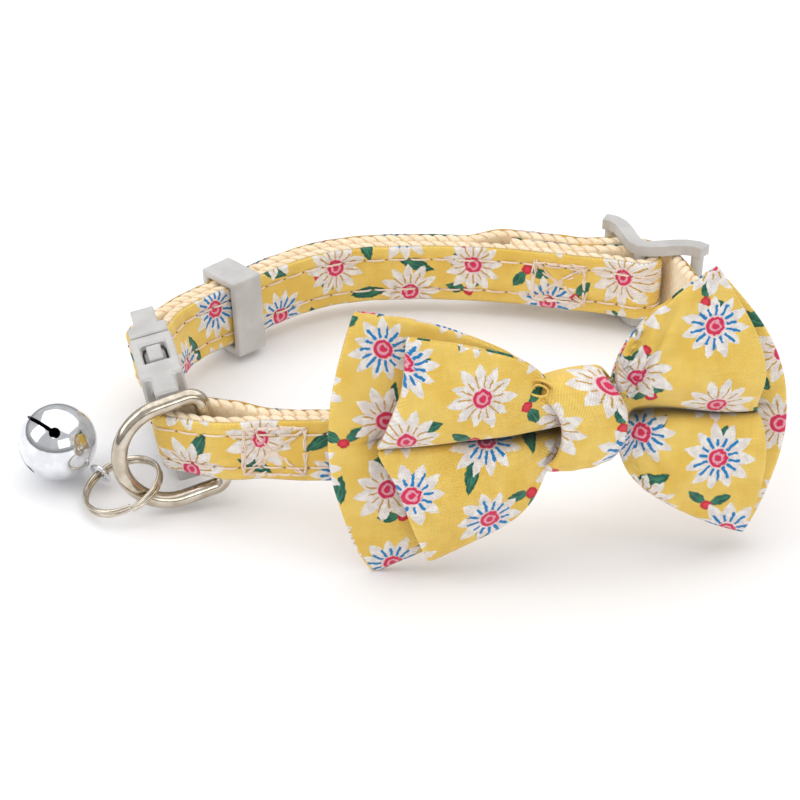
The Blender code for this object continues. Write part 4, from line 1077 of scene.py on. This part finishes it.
def thick_cloth(name, rows, uvs, thickness, replaces, closed=True):
    """A cloth of two faces with soft round top and bottom edges, from the grid of its middle."""
    ahead = np.roll(rows, -1, axis=0) - np.roll(rows, 1, axis=0) if closed else np.gradient(rows, axis=0)
    normal = units(np.cross(ahead, np.gradient(rows, axis=1)))
    for _ in range(3):
        if closed:
            normal = (np.roll(normal, 1, axis=0) + 2 * normal + np.roll(normal, -1, axis=0)) / 4
        normal = units(normal)
    # The last part of each row, towards both edges, is rounded
    past = np.clip((np.abs(np.linspace(-1, 1, rows.shape[1])) - EDGE_AT) / (1 - EDGE_AT), 0, 1)
    half = np.sqrt(np.clip(1 - past**2, 0.02, 1))[None, :, None] * thickness / 2
    both = np.concatenate([rows + normal * half, (rows - normal * half)[:, ::-1]], axis=1)
    maps = np.concatenate([uvs, uvs[:, ::-1]], axis=1)
    local = grid_mesh(name, both, maps, close_rows=closed, close_across=True, caps=not closed)
    local.transform(placing(BOW_X, BOW_Y, BOW_Z, BOW_ORIGIN))
    for vertex in local.vertices:
        vertex.co.z = max(vertex.co.z, FLOOR_CLEAR)
    return add_piece(local, PRINT, replaces)


def elastic_rows():
    """The ribbed elastic loop round the strap, behind the bow."""
    inner = HALF_LAYERS - WEBBING / 2 - LOOSE
    outer = HALF_LAYERS + COVER_OFFSET + COVER / 2 + LOOSE
    half_out = (outer - inner + ELASTIC) / 2
    half_up = STRAP_WIDTH / 2 + LOOSE + ELASTIC / 2
    centre, along, outward, up = RING.frame(RING.at["bow"])
    centre = centre + (outer + inner) / 2 * outward
    across = np.linspace(-1.0, 1.0, 43)
    edge = 1.0 - 0.6 * np.clip((np.abs(across) - 0.93) / 0.07, 0, 1) ** 2
    half = (ELASTIC / 2 - 0.1 * MM + 0.1 * MM * np.cos(across * math.pi * 9)) * edge
    # Each row crosses the outer face and comes back across the inner one
    beside = np.concatenate([across, across[::-1]])[:, None] * ELASTIC_WIDTH / 2
    lift = np.concatenate([half, -half[::-1]])[:, None]
    rows = []
    for turn in math.tau * np.arange(120) / 120:
        c, s = math.cos(turn), math.sin(turn)
        out = half_out * math.copysign(abs(c) ** 0.5, c)
        high = half_up * math.copysign(abs(s) ** 0.5, s)
        away = unit([c / half_out, s / half_up])
        rows.append(centre + beside * along + (out + lift * away[0]) * outward + (high + lift * away[1]) * up)
    return rows


mesh = grid_mesh("bow_elastic", elastic_rows(), close_rows=True, close_across=True)
add_piece(mesh, CREAM, ["bow_loop"])

for layer in ("back", "front"):
    rows, uvs = layer_mesh(layer)
    piece = thick_cloth(f"bow_{layer}_cloth", rows, uvs, CLOTH, [f"bow_{layer}_layer"])


def knot_rows():
    """The band round the bow's middle: a wide strip of cotton, drawn in at its ends and softly creased."""
    half_deep = KNOT_HALF_DEPTH / MM
    half_high = KNOT_HEIGHT / 2 / MM - 1.35
    rows, uvs = [], []
    far, last = 0.0, None
    for turn in math.pi + math.tau * np.arange(96) / 96:
        c, s = math.cos(turn), math.sin(turn)
        y = half_deep * math.copysign(abs(c) ** 0.62, c) + 0.75 * max(c, 0.0)
        z = half_high * math.copysign(abs(s) ** 0.62, s)
        far += math.hypot(y - last[0], z - last[1]) if last else 0.0
        last = y, z
        top = z / half_high
        centre = -0.8 - (3.1 if top > 0 else 2.3) * top * top
        half = 4.8 + 0.2 * top * top
        out = unit([c / half_deep, s / half_high])
        row, uv = [], []
        for k in np.linspace(-1, 1, 25):
            fold = wobble(k * 2.6 + 0.4 * top, 4.0 + 0.3 * top, 4.0) * (0.25 + 0.5 * top * top) * max(c, 0.0)
            lift = fold - 0.6 * (max(abs(k) - 0.8, 0) / 0.2) ** 2 + 0.55 * (1 - k * k)
            row.append((centre + k * half, y + out[0] * lift, z + out[1] * lift + 0.1 + 0.12 * k * half))
            uv.append(((k * half + 23.0 + 0.2 * z) / UV_MM, (far + 5.5) / UV_MM))
        rows.append(row)
        uvs.append(uv)
    return np.array(rows) * MM, np.array(uvs)


rows, uvs = knot_rows()
knot = thick_cloth("bow_knot_cloth", rows, uvs, 0.8 * MM, ["bow_knot"])


def pleat_rows():
    """The corner of the band that is rolled up at the knot's upper left, its hollow towards the viewer."""
    axis = unit([-0.30, 0.85, 0.42])
    flat = unit(np.cross(axis, [0.25, 0.0, 1.0]))
    high = np.cross(flat, axis)
    middle = np.array([-8.6, 3.1, 6.2])
    rows, uvs = [], []
    for share in np.arange(60) / 59:
        angle = math.radians(200.0 - 520.0 * share)
        reach = 0.45 + 1.0 * share
        ring = middle + reach * (1.5 * math.cos(angle) * flat + 0.9 * math.sin(angle) * high)
        row, uv = [], []
        for k in np.linspace(-1, 1, 9):
            flare = 1.0 + 0.12 * k
            row.append(middle + (ring - middle) * flare + 0.95 * k * axis)
            uv.append(((30.0 + 6.0 * share) / UV_MM, (14.0 + k) / UV_MM))
        rows.append(row)
        uvs.append(uv)
    return np.array(rows) * MM, np.array(uvs)


rows, uvs = pleat_rows()
pleat = thick_cloth("knot_rolled_corner", rows, uvs, 0.3 * MM, [], closed=False)


# Floor, light and camera
def soft_light(name, place, aim, size, power):
    data = bpy.data.lights.new(name, "AREA")
    data.shape = "RECTANGLE"
    data.size, data.size_y = size
    data.energy = power
    light = add_object(name, data)
    light.location = place
    light.rotation_euler = (Vector(aim) - Vector(place)).to_track_quat("-Z", "Y").to_euler()


floor_mesh = bpy.data.meshes.new("floor")
floor_mesh.from_pydata([(-4, -4, 0), (4, -4, 0), (4, 4, 0), (-4, 4, 0)], [], [(0, 1, 2, 3)])
floor = add_object("floor", floor_mesh)
floor_look = Graph("pale_floor", 0.65, specular=0.2)
floor_look.inputs["Base Color"].default_value = rgb(253, 253, 255)
floor.data.materials.append(floor_look.mat)

world = bpy.data.worlds.new("studio")
bpy.context.scene.world = world
world.use_nodes = True
tree = world.node_tree
back = tree.nodes["Background"]
coord, split, ramp = (tree.nodes.new("ShaderNode" + kind) for kind in ("TexCoord", "SeparateXYZ", "ValToRGB"))
low, high = ramp.color_ramp.elements
low.position, low.color = 0.0, (0.30, 0.30, 0.30, 1)
high.position, high.color = 0.28, (1, 1, 1, 1)
tree.links.new(coord.outputs["Generated"], split.inputs[0])
tree.links.new(split.outputs[2], ramp.inputs[0])
tree.links.new(ramp.outputs[0], back.inputs[0])
back.inputs[1].default_value = 0.61

soft_light("overhead", (0.05, 0.18, 0.75), (0.0, 0.0, 0.0), (1.5, 1.1), 4.9)
soft_light("left_window", (-0.75, -0.15, 0.5), (0.0, 0.0, 0.01), (0.5, 0.6), 1.8)
soft_light("front_fill", (0.35, -0.85, 0.45), (0.0, 0.0, 0.01), (0.6, 0.4), 1.4)

ELEVATION = math.radians(34.0)
DISTANCE = 0.620
PIXELS_PER_METRE = 6750.0
target = Vector((0.0, 0.0, 0.012)) + Vector(SHIFT)
away = Vector((0.0, -math.cos(ELEVATION), math.sin(ELEVATION)))
camera_data = bpy.data.cameras.new("camera")
camera_data.sensor_width = 36.0
camera_data.lens = 36.0 * PIXELS_PER_METRE * DISTANCE / 800.0
camera_data.clip_start = 0.01
camera = add_object("camera", camera_data)
camera.location = target + away * DISTANCE
camera.rotation_euler = (-away).to_track_quat("-Z", "Y").to_euler()
bpy.context.scene.camera = camera
bpy.context.scene.view_settings.view_transform = "Standard"
